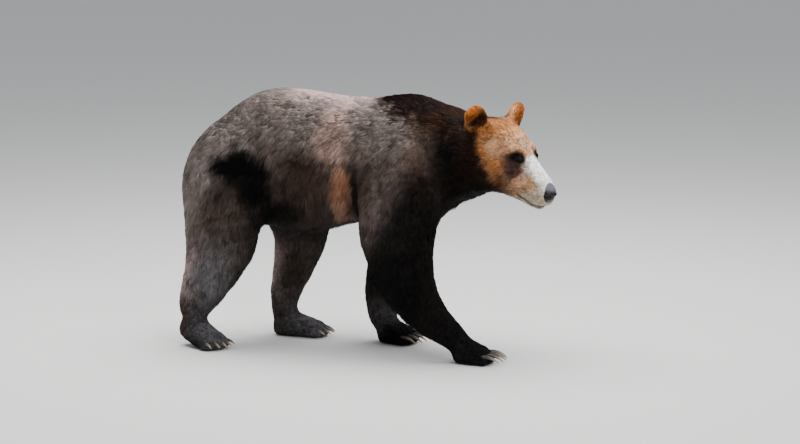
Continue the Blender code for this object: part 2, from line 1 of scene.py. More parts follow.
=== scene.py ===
# %% [markdown]
# # A grizzly bear in its stride
#
# A museum model of a bear has three layers: a body with the right masses, a skin drawn over it, and a
# coat of hair that hides most of both. The body comes from the frame as closed solids, whose surface
# stands at the tips of the coat. So the skin here is the same shape drawn in by the depth of the hair,
# and the hair is then grown back out of it, lock by lock. Eyes, lids and claws are pieces of their own.
#
# Everything is in metres. The bear walks towards +X, its left side is +Y, and +Z is up.

# %% Load the frame
import math
import time

import bmesh
import bpy
import numpy as np
from mathutils import Matrix, Vector, noise
from mathutils.bvhtree import BVHTree
from mathutils.kdtree import KDTree


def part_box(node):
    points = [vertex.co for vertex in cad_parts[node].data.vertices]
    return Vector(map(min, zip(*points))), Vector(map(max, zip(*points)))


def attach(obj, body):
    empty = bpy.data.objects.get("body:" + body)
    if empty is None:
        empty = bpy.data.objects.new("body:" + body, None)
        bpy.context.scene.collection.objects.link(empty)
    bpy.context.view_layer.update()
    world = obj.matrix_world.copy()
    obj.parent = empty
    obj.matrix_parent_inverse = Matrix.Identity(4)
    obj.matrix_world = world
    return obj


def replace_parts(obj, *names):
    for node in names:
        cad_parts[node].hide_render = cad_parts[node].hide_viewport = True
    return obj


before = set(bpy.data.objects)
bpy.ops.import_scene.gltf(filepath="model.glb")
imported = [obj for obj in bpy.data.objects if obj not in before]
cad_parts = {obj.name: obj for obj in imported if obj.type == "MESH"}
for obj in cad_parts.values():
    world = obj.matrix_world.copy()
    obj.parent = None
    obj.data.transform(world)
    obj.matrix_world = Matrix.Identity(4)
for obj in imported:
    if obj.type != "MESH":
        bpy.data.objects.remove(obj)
bpy.context.view_layer.update()
started = time.time()
rng = np.random.default_rng(7)

# %% [markdown]
# ## Places on the bear
#
# A place on the body is easiest to say as a share of a piece's own box: half way along the trunk, at its
# outer side, three quarters up. Then nothing has to be measured again if the body changes. The head hangs
# at an angle, so it gets a frame of its own, with X along the muzzle, Y to the bear's left and Z out of
# the forehead. The two eyes fix where that frame lies.

# %% Places as shares of a piece's box, and the head's own frame
SIDES = (("right", -1), ("left", 1))
HEAD_YAW, HEAD_PITCH, HEAD_ROLL = -19.5, 27.0, 1.5  # to its right, nose down, right ear up, in degrees
EYE_AHEAD, EYE_ABOVE = 0.1957, 0.0588  # the eyes' middle in the head's frame


def centre(node):
    low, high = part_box(node)
    return (low + high) / 2


def place(node, along, outward, up):
    """A point in a piece's box: rear to front, inner to outer side and bottom to top, each from 0 to 1."""
    low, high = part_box(node)
    size = high - low
    y = low.y + size.y * outward
    if node.endswith("right"):
        y = high.y - size.y * outward
    return Vector((low.x + size.x * along, y, low.z + size.z * up))


def beside(node, spot, hand):
    """A point in the box of a piece on the midline, where outward runs from its middle to one side."""
    return place(node, spot[0], 0.5 + hand * spot[1] / 2, spot[2])


def hands(spot):
    """Both sides for a spot that lies off the midline, and else the one that the spot itself says."""
    return (-1, 1) if spot[1] > 0 else (1,)


head_turn = (
    Matrix.Rotation(math.radians(HEAD_YAW), 4, "Z")
    @ Matrix.Rotation(math.radians(HEAD_PITCH), 4, "Y")
    @ Matrix.Rotation(math.radians(-HEAD_ROLL), 4, "X")
)
eyes_middle = (centre("eye_left") + centre("eye_right")) / 2
head_frame = Matrix.Translation(eyes_middle) @ head_turn @ Matrix.Translation((-EYE_AHEAD, 0, -EYE_ABOVE))
print("head frame at", [round(value, 3) for value in head_frame.translation])


def in_head(points):
    """World points as an array in the head's own frame."""
    return (points - np.array(head_frame.translation)) @ np.array(head_turn.to_3x3())


def distance_to(points, middles):
    """How far each point is from the nearest of some middles."""
    return np.linalg.norm(points[:, None] - np.array(middles)[None], axis=2).min(1)


EARS = [centre("ear_" + side) for side, _ in SIDES]
EYES = [centre("eye_" + side) for side, _ in SIDES]


# %% [markdown]
# ## How the coat lies
#
# Hair isn't the same all over an animal. A groomer would describe it stroke by stroke: which way it lies
# here, how long it is, how deep it stands off the skin, what colour it is and how pale its tips are. The
# tables below are such strokes. Between them every value is blended by distance, so the lie turns
# smoothly round the body. Lengths and depths are in millimetres, because hair is.

# %% Colours of the coat
def tone(red, green, blue):
    """A linear colour from the 0 to 255 values of a colour picker."""
    picked = np.array((red, green, blue)) / 255
    return np.where(picked <= 0.04045, picked / 12.92, ((picked + 0.055) / 1.055) ** 2.4)


TONES = {
    "night": tone(26, 20, 19),
    "soot": tone(7, 6, 6),
    "umber": tone(54, 43, 38),
    "bark": tone(54, 38, 33),
    "smoke": tone(86, 74, 71),
    # painted sheen: the cool grey that wet dark hair on the lower legs and paws shows under a bright sky
    "slate": tone(95, 92, 95),
    "ash": tone(118, 107, 102),
    "dust": tone(163, 143, 138),
    "fawn": tone(160, 132, 121),
    "rust": tone(122, 80, 54),
    "gold": tone(156, 98, 48),
    "honey": tone(178, 126, 80),
    "sand": tone(192, 146, 108),
    "amber": tone(178, 100, 34),
    "cream": tone(252, 250, 245),
    "stone": tone(182, 168, 148),
    "peach": tone(222, 172, 138),
    "bruise": tone(70, 48, 43),
    "chestnut": tone(40, 18, 8),
    "russet": tone(68, 29, 9),
    "crest": tone(22, 7, 6),
}

# %% Strokes on the trunk, neck and limbs
# for each piece: place in its box (along, outward, up), lie (ahead, outward, up), length, depth, tone and
# paleness of the tips
BODY_STROKES = {
    "trunk": [
        ((0.04, 0.35, 0.7), (-0.3, 0.1, -1.0), 34, 12, "ash", 0.9),
        ((0.12, 0.0, 0.92), (-0.9, 0.0, -0.5), 30, 11, "ash", 0.9),
        ((0.27, 0.0, 1.0), (-1.0, 0.0, -0.1), 30, 11, "ash", 0.9),
        ((0.22, 0.7, 0.78), (-0.7, 0.0, -0.7), 32, 11, "ash", 0.8),
        ((0.5, 0.0, 1.0), (-1.0, 0.0, 0.0), 30, 11, "dust", 1.1),
        ((0.5, 0.7, 0.8), (-0.8, 0.0, -0.6), 32, 12, "ash", 0.9),
        ((0.5, 1.0, 0.48), (-0.5, 0.0, -0.85), 38, 13, "bark", 0.4),
        ((0.5, 0.85, 0.2), (-0.2, 0.0, -1.0), 62, 17, "umber", 0.3),
        ((0.3, 0.9, 0.35), (-0.4, 0.0, -0.9), 48, 14, "umber", 0.2),
        ((0.5, 0.2, 0.0), (-0.6, 0.0, -0.6), 58, 17, "soot", 0.0),
        ((0.25, 0.2, 0.05), (-0.6, 0.0, -0.6), 52, 15, "soot", 0.0),
        ((0.68, 1.0, 0.45), (-0.45, 0.0, -0.9), 44, 14, "umber", 0.4),
        ((0.64, 0.2, 0.97), (-1.0, 0.0, 0.0), 42, 13, "dust", 1.1),
        ((0.76, 0.7, 0.82), (-0.75, 0.0, -0.6), 44, 14, "ash", 0.7),
        ((0.86, 0.0, 1.0), (-0.85, 0.0, 0.45), 60, 20, "crest", 0.0),
        ((0.84, 0.8, 0.76), (-0.75, 0.0, -0.6), 46, 15, "ash", 0.6),
        ((0.98, 0.6, 0.7), (-0.6, 0.0, -0.8), 46, 15, "umber", 0.5),
        ((0.9, 0.3, 0.05), (-0.5, 0.0, -0.8), 48, 15, "night", 0.0),
    ],
    "neck": [
        ((0.5, 0.0, 1.0), (-0.95, 0.0, -0.1), 44, 14, "soot", 0.1),
        ((0.25, 1.0, 0.6), (-0.6, 0.0, -0.8), 46, 14, "smoke", 0.8),
        ((0.5, 0.0, 0.0), (-0.7, 0.0, -0.7), 50, 15, "soot", 0.0),
    ],
}
# Strokes that both sides of the body have.
PAIRED_STROKES = {
    "shoulder_and_upper_arm": [
        ((0.6, 1.0, 0.88), (-0.45, 0.0, -0.9), 42, 14, "smoke", 0.5),
        ((0.6, 1.0, 0.58), (-0.35, 0.0, -0.94), 40, 13, "smoke", 0.6),
        ((0.6, 1.0, 0.36), (-0.3, 0.0, -0.95), 40, 13, "smoke", 1.0),
        ((0.6, 1.0, 0.02), (-0.3, 0.0, -0.95), 38, 12, "soot", 0.05),
        ((1.0, 0.6, 0.4), (-0.1, 0.2, -1.0), 34, 11, "night", 0.1),
        ((0.1, 0.7, 0.2), (-0.6, 0.0, -0.8), 56, 15, "night", 0.15),
        ((0.5, 0.0, 0.3), (-0.3, 0.0, -0.95), 36, 11, "soot", 0.0),
    ],
    "forearm": [
        ((0.5, 1.0, 0.5), (-0.2, 0.0, -1.0), 32, 10, "soot", 0.15),
        ((0.9, 0.5, 0.45), (0.0, 0.0, -1.0), 25, 8, "smoke", 0.2),
        ((0.75, 1.0, 0.12), (0.2, 0.0, -1.0), 22, 7, "smoke", 0.3),
        ((0.1, 0.5, 0.6), (-0.5, 0.0, -0.87), 50, 13, "night", 0.15),
        ((0.5, 0.0, 0.5), (-0.1, 0.0, -1.0), 28, 9, "soot", 0.0),
    ],
    "forepaw": [
        # the slate grey on the paw is a painted sheen on wet dark hair
        ((0.55, 0.5, 0.75), (1.0, 0.0, -0.5), 16, 5, "slate", 0.2),
        ((0.45, 1.0, 0.4), (0.7, 0.2, -0.6), 17, 5, "slate", 0.2),
        ((0.0, 0.5, 0.6), (-0.3, 0.0, -1.0), 26, 7, "umber", 0.1),
        ((0.85, 0.5, 0.45), (1.0, 0.0, -0.35), 12, 4, "slate", 0.1),
        ((0.5, 0.5, 0.0), (1.0, 0.0, 0.0), 6, 1, "soot", 0.0),
    ],
    "thigh": [
        ((0.3, 0.8, 0.92), (-0.5, 0.0, -0.85), 42, 13, "ash", 0.5),
        ((0.5, 1.0, 0.45), (-0.25, 0.0, -1.0), 40, 13, "umber", 0.8),
        ((0.2, 0.9, 0.6), (-0.2, 0.0, -1.0), 42, 13, "ash", 0.6),
        ((0.0, 0.5, 0.5), (-0.1, 0.0, -1.0), 42, 13, "ash", 0.8),
        ((1.0, 0.6, 0.3), (-0.2, 0.0, -1.0), 44, 13, "night", 0.1),
        ((0.5, 0.0, 0.4), (-0.2, 0.0, -1.0), 36, 11, "night", 0.1),
    ],
    "shank": [
        # the slate grey on the shank is a painted sheen on wet dark hair
        ((0.5, 1.0, 0.5), (-0.25, 0.0, -1.0), 32, 10, "slate", 0.4),
        ((0.0, 0.5, 0.6), (-0.4, 0.0, -0.9), 38, 11, "dust", 0.4),
        ((1.0, 0.5, 0.5), (-0.1, 0.0, -1.0), 28, 9, "umber", 0.2),
        ((0.5, 0.0, 0.5), (-0.2, 0.0, -1.0), 28, 9, "umber", 0.1),
    ],
    "hind_foot": [
        # the slate grey on the foot is a painted sheen on wet dark hair
        ((0.6, 0.5, 0.6), (0.9, 0.2, -0.6), 17, 5, "slate", 0.2),
        ((0.05, 0.5, 0.75), (-0.5, 0.0, -1.0), 24, 7, "umber", 0.3),
        ((0.9, 0.5, 0.4), (1.0, 0.2, -0.4), 12, 4, "slate", 0.1),
        ((0.5, 0.5, 0.0), (1.0, 0.0, 0.0), 6, 1, "soot", 0.0),
    ],
    "ear": [
        ((0.5, 0.5, 1.0), (-0.1, 0.2, 1.0), 19, 10, "amber", 0.6),
        ((0.1, 0.6, 0.5), (-0.4, 0.2, 1.0), 20, 10, "amber", 0.2),
        ((0.6, 1.0, 0.6), (0.0, 0.6, 1.0), 19, 10, "amber", 0.2),
        ((0.6, 0.0, 0.6), (0.0, 0.6, 1.0), 19, 8, "sand", 0.9),
        ((0.8, 0.1, 0.8), (0.1, 0.3, 1.0), 19, 8, "honey", 0.9),
        ((0.95, 0.5, 0.45), (0.3, 0.3, 1.0), 18, 6, "amber", 0.2),
        ((0.5, 0.5, 0.0), (-0.5, 0.2, 0.5), 24, 9, "gold", 0.2),
    ],
}
# Strokes on the head, in the head's own frame in metres: place (ahead, outward, up) and lie in the same axes.
HEAD_STROKES = [
    ((0.31, 0.0, 0.037), (-1.0, 0.0, 0.1), 6, 1.8, "cream", 0.2),
    ((0.25, 0.0, 0.056), (-1.0, 0.1, 0.1), 8, 2.3, "cream", 0.3),
    ((0.2, 0.0, 0.072), (-1.0, 0.1, 0.3), 10, 3.2, "honey", 0.5),
    ((0.14, 0.0, 0.105), (-1.0, 0.1, 0.3), 15, 4.8, "honey", 0.6),
    ((0.055, 0.0, 0.122), (-1.0, 0.1, 0.0), 21, 7.0, "gold", 0.5),
    ((-0.03, 0.0, 0.105), (-1.0, 0.0, -0.2), 32, 11, "soot", 0.1),
    ((0.06, 0.075, 0.1), (-0.9, 0.3, 0.1), 20, 7.0, "gold", 0.5),
    ((0.11, 0.095, 0.055), (-0.8, 0.2, -0.4), 20, 7.0, "sand", 0.5),
    ((0.082, 0.105, 0.028), (-0.7, 0.2, -0.6), 23, 8.0, "gold", 0.9),
    ((0.165, 0.055, 0.088), (-0.8, 0.4, 0.1), 11, 3.2, "sand", 0.3),
    # black hair round the eye: dark lids, and a painted shadow of the brow
    ((0.196, 0.054, 0.058), (-0.7, 0.3, -0.5), 5, 1.0, "soot", 0.0),
    ((0.215, 0.062, 0.008), (-0.7, 0.3, -0.6), 9, 2.6, "bruise", 0.1),
    ((0.243, 0.06, -0.022), (-0.9, 0.2, -0.4), 10, 3.0, "sand", 0.3),
    ((0.285, 0.05, 0.0), (-1.0, 0.1, -0.1), 7, 2.0, "sand", 0.3),
    ((0.31, 0.045, -0.035), (-0.8, 0.1, -0.6), 7, 1.8, "stone", 0.3),
    ((0.31, 0.018, -0.078), (-1.0, 0.0, -0.3), 10, 3.0, "stone", 0.4),
    ((0.188, 0.09, -0.06), (-0.7, 0.1, -0.7), 18, 6.0, "russet", 0.1),
    ((0.15, 0.105, 0.0), (-0.6, 0.1, -0.75), 23, 7.5, "gold", 0.9),
    ((0.145, 0.105, -0.045), (-0.6, 0.1, -0.78), 25, 8.5, "rust", 0.9),
    ((0.09, 0.125, -0.02), (-0.6, 0.1, -0.8), 28, 9.5, "rust", 0.9),
    ((0.14, 0.09, -0.095), (-0.6, 0.1, -0.8), 29, 9.5, "russet", 0.0),
    ((0.09, 0.0, -0.15), (-1.0, 0.0, -0.3), 33, 11, "night", 0.0),
    ((-0.06, 0.125, -0.04), (-0.7, 0.0, -0.7), 40, 13, "soot", 0.2),
    ((-0.06, 0.09, 0.07), (-0.9, 0.2, -0.2), 35, 12, "soot", 0.1),
]


# %% Every stroke in the bear's frame, as arrays
def stroke_rows():
    """(place, lie, length, depth, colour, paleness) of each stroke in world axes, both sides of the body."""
    for node, strokes in BODY_STROKES.items():
        for spot, lie, *rest in strokes:
            for hand in hands(spot):
                yield beside(node, spot, hand), Vector(lie), *rest
    for node, strokes in PAIRED_STROKES.items():
        for spot, lie, *rest in strokes:
            for side, hand in SIDES:
                yield place(f"{node}_{side}", *spot), Vector(lie) * Vector((1, hand, 1)), *rest
    for spot, lie, *rest in HEAD_STROKES:
        for _, hand in SIDES:
            mirror = Vector((1, hand, 1))
            yield head_frame @ (Vector(spot) * mirror), head_turn.to_3x3() @ (Vector(lie) * mirror), *rest


rows = list(stroke_rows())
stroke_place = np.array([row[0] for row in rows])
stroke_lie = np.array([row[1].normalized() for row in rows])
stroke_size = np.array([row[2:4] for row in rows]) / 1000
stroke_tone = np.array([TONES[row[4]] for row in rows])
stroke_pale = np.array([[row[5]] for row in rows])
stroke_values = np.hstack([stroke_lie, stroke_size, stroke_tone, stroke_pale])
BLEND_REACH = 0.012  # how near a stroke has to be before it alone counts
POINTS_AT_ONCE = 20000
print(len(rows), "strokes")


def groomed(points):
    """The blended strokes at some points: lie, length, depth, colour and paleness of the tips."""
    blended = np.empty((len(points), stroke_values.shape[1]))
    for start in range(0, len(points), POINTS_AT_ONCE):
        part = slice(start, start + POINTS_AT_ONCE)
        distance2 = ((points[part][:, None, :] - stroke_place[None]) ** 2).sum(2) + BLEND_REACH**2
        weight = distance2**-2.0
        blended[part] = (weight @ stroke_values) / weight.sum(1)[:, None]
    lie, length, depth, colour, pale = np.split(blended, (3, 4, 5, 8), axis=1)
    return lie, length[:, 0], depth[:, 0], colour, pale[:, 0]


# %% [markdown]
# ## Markings
#
# Some colours have an edge that a blend of strokes can't give: the pale bridge of the muzzle, the dark
# patch round each eye with a painted shadow of the brow, a painted shade in the cup of the near ear, the
# rusty band behind the shoulder with a painted shadow along the arm's rear edge, the dark crest on the
# hump, and a painted shade over dark wet fur in the hollow in front of the thigh. Each is a soft ellipsoid
# whose edge is broken up by noise, as fur breaks it. Skin and coat both ask this one function for their
# colour, so the two always agree.

# %% Noise and the markings
def rough_noise(points, scale, seed=0.0):
    """Smooth noise from -1 to 1 at some points, with features about 1/scale across."""
    offset = Vector((seed, seed * 0.7, -seed))
    return np.array([noise.noise(Vector(point) * scale + offset) for point in points])


# place, radii (ahead, outward, up), tone, strength, paleness of the tips. Outward above 0 means both sides.
HEAD_MARKINGS = [
    ((0.282, 0.0, 0.047), (0.075, 0.046, 0.046), "cream", 1.0, 3.0),
    ((0.315, 0.0, -0.086), (0.05, 0.04, 0.014), "stone", 0.45, 0.4),
    ((0.246, 0.052, -0.006), (0.03, 0.04, 0.026), "peach", 0.65, 0.4),
    ((0.192, 0.062, 0.05), (0.031, 0.034, 0.026), "bruise", 0.8, 0.1),
    ((0.21, 0.064, 0.014), (0.027, 0.034, 0.026), "bruise", 0.72, 0.1),
    # dark lids, and a painted shadow of the brow over the eye
    ((0.194, 0.052, 0.06), (0.036, 0.024, 0.016), "soot", 1.0, 0.0),
    ((0.165, 0.0, 0.096), (0.045, 0.022, 0.03), "dust", 0.5, 0.6),
    # painted shade in the cup of the near (right) ear
    ((0.014, -0.112, 0.1), (0.021, 0.024, 0.026), "chestnut", 0.9, 0.0),
    ((0.13, 0.0, -0.145), (0.11, 0.12, 0.045), "soot", 0.9, 0.0),
]
BODY_MARKINGS = [
    ("trunk", (0.64, 1.0, 0.28), (0.038, 0.1, 0.14), "rust", 0.85, 1.2),
    ("trunk", (0.637, 1.0, 0.19), (0.036, 0.1, 0.062), "fawn", 0.42, 1.0),
    ("trunk", (0.61, 0.8, 0.71), (0.07, 0.12, 0.085), "fawn", 0.65, 1.2),
    # painted shadow along the rear edge of the right arm, in front of the rusty band
    ("trunk", (0.696, -1.0, 0.24), (0.018, 0.1, 0.14), "soot", 0.9, 0.0),
    ("neck", (0.15, 0.0, 0.95), (0.17, 0.15, 0.1), "chestnut", 0.95, 0.1),
    ("trunk", (0.87, 0.0, 1.0), (0.12, 0.165, 0.12), "crest", 1.0, 0.0),
    # painted shade, over dark wet fur, in the hollow in front of the right thigh and below it
    ("trunk", (0.24, -1.0, 0.51), (0.088, 0.11, 0.07), "soot", 1.0, 0.0),
    ("trunk", (0.31, -1.0, 0.36), (0.06, 0.11, 0.1), "soot", 1.0, 0.0),
    ("trunk", (0.37, -0.95, 0.14), (0.09, 0.1, 0.09), "soot", 0.9, 0.0),
    # painted shade low on the flank towards the belly, on both sides
    ("trunk", (0.42, 0.95, 0.14), (0.05, 0.08, 0.12), "soot", 0.6, 0.0),
]
# The dark ruff starts behind a line across the head's side, in the head's frame: ahead = AT + LEAN * up
RUFF_AT, RUFF_LEAN = 0.104, -1.05
RUFF_EDGE, RUFF_END = 0.020, (-0.13, -0.01)
RUFF_STRENGTH, RUFF_PALENESS = 0.94, 0.06
RUFF_OFF_EARS = (0.045, 0.062)  # how far from an ear's middle it starts and is whole
MARKING_EDGE = 0.36  # how much of a marking's radius its soft edge takes
MARKING_NOISE = ((45.0, 0.30), (14.0, 0.30))  # how finely noise breaks the edge, and by how much


def marking_rows():
    """(middle, axes, radii, colour, strength, paleness) of each marking in world axes."""
    turn = np.array(head_turn.to_3x3())
    upright = np.identity(3)
    for spot, radii, name, strength, pale in HEAD_MARKINGS:
        for hand in hands(spot):
            middle = head_frame @ (Vector(spot) * Vector((1, hand, 1)))
            yield np.array(middle), turn, radii, TONES[name], strength, pale
    for node, spot, radii, name, strength, pale in BODY_MARKINGS:
        for hand in hands(spot):
            yield np.array(beside(node, spot, hand)), upright, radii, TONES[name], strength, pale


def smoothstep(low, high, value):
    share = np.clip((value - low) / (high - low), 0, 1)
    return share * share * (3 - 2 * share)


def painted(points):
    """Lie, length, depth, colour and paleness at some points, with the markings over the strokes."""
    lie, length, depth, colour, pale = groomed(points)
    ragged = sum(rough_noise(points, scale) * amount for scale, amount in MARKING_NOISE)
    for middle, axes, radii, tint, strength, tips in marking_rows():
        away = np.linalg.norm(((points - middle) @ axes) / np.array(radii), axis=1)
        share = strength * smoothstep(1 + MARKING_EDGE, 1 - MARKING_EDGE, away + ragged)
        colour += (tint - colour) * share[:, None]
        pale += (tips - pale) * share
    local = in_head(points)
    behind = RUFF_AT + RUFF_LEAN * local[:, 2] - local[:, 0] + ragged * RUFF_EDGE
    ruff = smoothstep(-RUFF_EDGE, RUFF_EDGE, behind) * smoothstep(*RUFF_END, local[:, 0])
    ruff *= RUFF_STRENGTH * smoothstep(*RUFF_OFF_EARS, distance_to(points, EARS))
    colour += (TONES["soot"] - colour) * ruff[:, None]
    pale += (RUFF_PALENESS - pale) * ruff
    return lie, length, depth, colour, pale


# %% [markdown]
# ## The skin
#
# The flesh comes as twenty closed solids with thin cuts between them. To make one skin of them, each is
# swelled by a hair so that it bites into its neighbour, small plugs fill the sockets of claws and eyes,
# and a voxel remesh turns the lot into a single surface. Then it is smoothed, more where the coat is
# deep, and drawn in by the coat's depth.

# %% Gather the flesh
SEAM_BITE = 0.0006  # how far each solid is swelled to close the thin cuts
SKIN_VOXEL = 0.0108
PLUG_RADIUS, EYE_PLUG_RADIUS = 0.0090, 0.0115
PLUG_STEPS = (0.2, 1.0, 1.8)  # where along a claw its plugs sit, in radii
FLESH = sorted(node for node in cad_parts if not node.startswith(("eye_", "claw_")))
CLAWS = sorted(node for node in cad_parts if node.startswith("claw_"))


def merged_copy(node):
    """A bmesh copy of a CAD node with its loose triangles joined up."""
    bm = bmesh.new()
    bm.from_mesh(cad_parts[node].data)
    bmesh.ops.remove_doubles(bm, verts=bm.verts, dist=1e-5)
    bm.normal_update()
    return bm


def in_scene(name, data):
    """A new object in the scene that shows a mesh, a light or a camera."""
    obj = bpy.data.objects.new(name, data)
    bpy.context.scene.collection.objects.link(obj)
    return obj


def piece_from(name, bm):
    """A new object in the scene from a bmesh."""
    mesh = bpy.data.meshes.new(name)
    bm.to_mesh(mesh)
    bm.free()
    return in_scene(name, mesh)


def applied(obj):
    """Applies an object's modifiers to its mesh."""
    graph = bpy.context.evaluated_depsgraph_get()
    mesh = bpy.data.meshes.new_from_object(obj.evaluated_get(graph))
    obj.modifiers.clear()
    obj.data = mesh
    return obj


def claw_axis(node):
    """(root, direction, length) of a claw, from the end that sits in its foot to its tip."""
    foot = centre(node.removeprefix("claw_").rsplit("_", 1)[0])
    points = np.array([vert.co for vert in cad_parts[node].data.vertices])
    forward = np.array(centre(node) - foot)
    forward[2] = 0
    forward /= np.linalg.norm(forward)
    reach = points @ forward
    root = points[reach < reach.min() + 0.002].mean(0)
    tip = points[reach > reach.max() - 0.001].mean(0)
    return Vector(root), Vector(tip - root).normalized(), float(np.linalg.norm(tip - root))


flesh = bmesh.new()
for node in FLESH:
    part = merged_copy(node)
    for vert in part.verts:
        vert.co += vert.normal * SEAM_BITE
    swelled = bpy.data.meshes.new("swelled")
    part.to_mesh(swelled)
    part.free()
    flesh.from_mesh(swelled)
    bpy.data.meshes.remove(swelled)
for node in CLAWS:
    root, ahead, _ = claw_axis(node)
    for step in PLUG_STEPS:
        spot = Matrix.Translation(root + ahead * PLUG_RADIUS * step)
        bmesh.ops.create_icosphere(flesh, subdivisions=2, radius=PLUG_RADIUS, matrix=spot)
for middle in EYES:
    spot = Matrix.Translation(middle)
    bmesh.ops.create_icosphere(flesh, subdivisions=2, radius=EYE_PLUG_RADIUS, matrix=spot)
skin = piece_from("skin", flesh)
remesh = skin.modifiers.new("one surface", "REMESH")
remesh.mode = "VOXEL"
remesh.voxel_size = SKIN_VOXEL
applied(skin)
print("skin", len(skin.data.polygons), "faces after the remesh")


# %% Smooth the skin and draw it in by the coat's depth
def gathered(items, name, width, kind=np.float32):
    """One property of all of a mesh's vertices, edges or corners, as the rows of an array."""
    values = np.empty(len(items) * width, kind)
    items.foreach_get(name, values)
    return values.reshape(-1, width)


def vertex_array(mesh):
    return gathered(mesh.vertices, "co", 3).astype(float)


def normal_array(mesh):
    return gathered(mesh.vertices, "normal", 3).astype(float)


def put_vertices(mesh, points):
    mesh.vertices.foreach_set("co", points.astype(np.float32).ravel())
    mesh.update()


def raised(mesh, height):
    """Moves each vertex along its normal by its own height."""
    put_vertices(mesh, vertex_array(mesh) + normal_array(mesh) * height[:, None])


def softened(mesh, points, share, steps):
    """Smooths points along a mesh's edges: each goes its share of the way to its neighbours' middle."""
    edges = gathered(mesh.edges, "vertices", 2, np.int32)
    count = np.bincount(edges.ravel(), minlength=len(points))[:, None]
    for _ in range(steps):
        total = np.zeros_like(points)
        for axis in range(3):
            total[:, axis] = np.bincount(edges[:, 0], points[edges[:, 1], axis], len(points))
            total[:, axis] += np.bincount(edges[:, 1], points[edges[:, 0], axis], len(points))
        points = points + (total / np.maximum(count, 1) - points) * share[:, None]
    return points


FULL_SMOOTH_DEPTH = 0.013  # coat depth from which the skin is smoothed at full strength
LEAST_SMOOTH, MORE_SMOOTH = 0.12, 0.43  # strength of the smoothing where hair is short, and what depth adds
SMOOTH_STEPS, LAST_STEPS = 12, 2  # before and after drawing in
SOLE_LEVEL = 0.0012
SOLE_EDGE = (0.020, 0.004)  # heights over the floor between which drawing in fades out
EAR_DRAW = 0.0045  # the ears are thin, so they are drawn in no more than this
EAR_EDGE = (0.050, 0.085)  # distances from an ear's middle between which that limit fades out
DEEPEST_COAT = 0.02

points = vertex_array(skin.data)
depth = groomed(points)[2]
depth = np.minimum(depth, EAR_DRAW + DEEPEST_COAT * smoothstep(*EAR_EDGE, distance_to(points, EARS)))
loose = np.clip(depth / FULL_SMOOTH_DEPTH, 0, 1)
share = LEAST_SMOOTH + MORE_SMOOTH * loose
points = softened(skin.data, points, share, SMOOTH_STEPS)
put_vertices(skin.data, points)
sole = smoothstep(*SOLE_EDGE, points[:, 2])
points -= normal_array(skin.data) * (depth * (1 - sole))[:, None]
points[:, 2] = np.maximum(points[:, 2], SOLE_LEVEL)
put_vertices(skin.data, softened(skin.data, points, share / 2, LAST_STEPS))

# %% [markdown]
# The body's own relief comes next: the hollow in front of the thigh, the ridge of the shoulder blade, the
# muscle over the elbow. Each is a soft swelling or dent, laid along the skin's normals.

# %% Muscles and hollows
# for each piece: place, radii and height in millimetres
RELIEF = {
    "trunk": [
        ((0.24, 1.0, 0.47), (0.072, 0.12, 0.065), -15),
        ((0.31, 1.0, 0.36), (0.06, 0.12, 0.08), -10),
        ((0.245, 0.95, 0.67), (0.11, 0.12, 0.028), 7),
        ((0.36, 0.95, 0.22), (0.045, 0.12, 0.09), -11),
        ((0.47, 1.0, 0.4), (0.09, 0.12, 0.1), 5),
        ((0.692, 1.0, 0.25), (0.022, 0.12, 0.15), -11),
        ((0.78, 0.85, 0.72), (0.06, 0.1, 0.11), 7),
    ],
    "neck": [
        ((0.2, 1.0, 0.6), (0.045, 0.1, 0.13), -8),
        ((0.9, 1.0, 0.3), (0.035, 0.1, 0.08), -6),
    ],
}
PAIRED_RELIEF = {
    "shoulder_and_upper_arm": [
        ((0.45, 1.0, 0.62), (0.06, 0.07, 0.09), 7),
        ((0.8, 1.0, 0.4), (0.04, 0.07, 0.1), 5),
        ((0.62, 1.0, 0.45), (0.018, 0.07, 0.13), -6),
        ((0.55, 1.0, 0.12), (0.035, 0.06, 0.05), -5),
    ],
    "forearm": [
        ((0.45, 1.0, 0.8), (0.04, 0.06, 0.05), 6),
        ((0.7, 1.0, 0.45), (0.02, 0.05, 0.09), -4),
    ],
    "thigh": [
        ((0.55, 1.0, 0.6), (0.07, 0.08, 0.12), 8),
        ((0.4, 1.0, 0.08), (0.06, 0.08, 0.05), -5),
    ],
    "shank": [
        ((0.55, 1.0, 0.75), (0.05, 0.06, 0.07), 5),
    ],
}


def relief_rows():
    """(middle, radii, height in millimetres) of each form in world axes, both sides of the body."""
    for node, forms in RELIEF.items():
        for spot, radii, height in forms:
            for _, hand in SIDES:
                yield beside(node, spot, hand), radii, height
    for node, forms in PAIRED_RELIEF.items():
        for spot, radii, height in forms:
            for side, _ in SIDES:
                yield place(f"{node}_{side}", *spot), radii, height


def bell(points, middle, radii):
    """1 at the middle, falling off softly at the radii."""
    return np.exp(-(((points - np.array(middle)) / np.array(radii)) ** 2).sum(1))


UNEVENNESS = ((9.0, 3.0, 0.0030), (24.0, 9.0, 0.0016))  # fineness, seed and height of the flesh's small rolls

points = vertex_array(skin.data)
height = sum(bell(points, middle, radii) * mm / 1000 for middle, radii, mm in relief_rows())
height += sum(rough_noise(points, scale, seed) * rise for scale, seed, rise in UNEVENNESS) * loose
raised(skin.data, height)
print("relief from", round(height.min() * 1000, 1), "to", round(height.max() * 1000, 1), "mm")

# %% [markdown]
# ## The face
#
# The head gets most of the care, so its skin is made finer first: once over all of the head, again over
# muzzle and eyes, and once more along the nose and lips. Then small forms are pressed into it in the
# head's own frame: the brow, the tear trough, the pads of the whiskers, the nose with its nostrils, and
# the line of the lips.


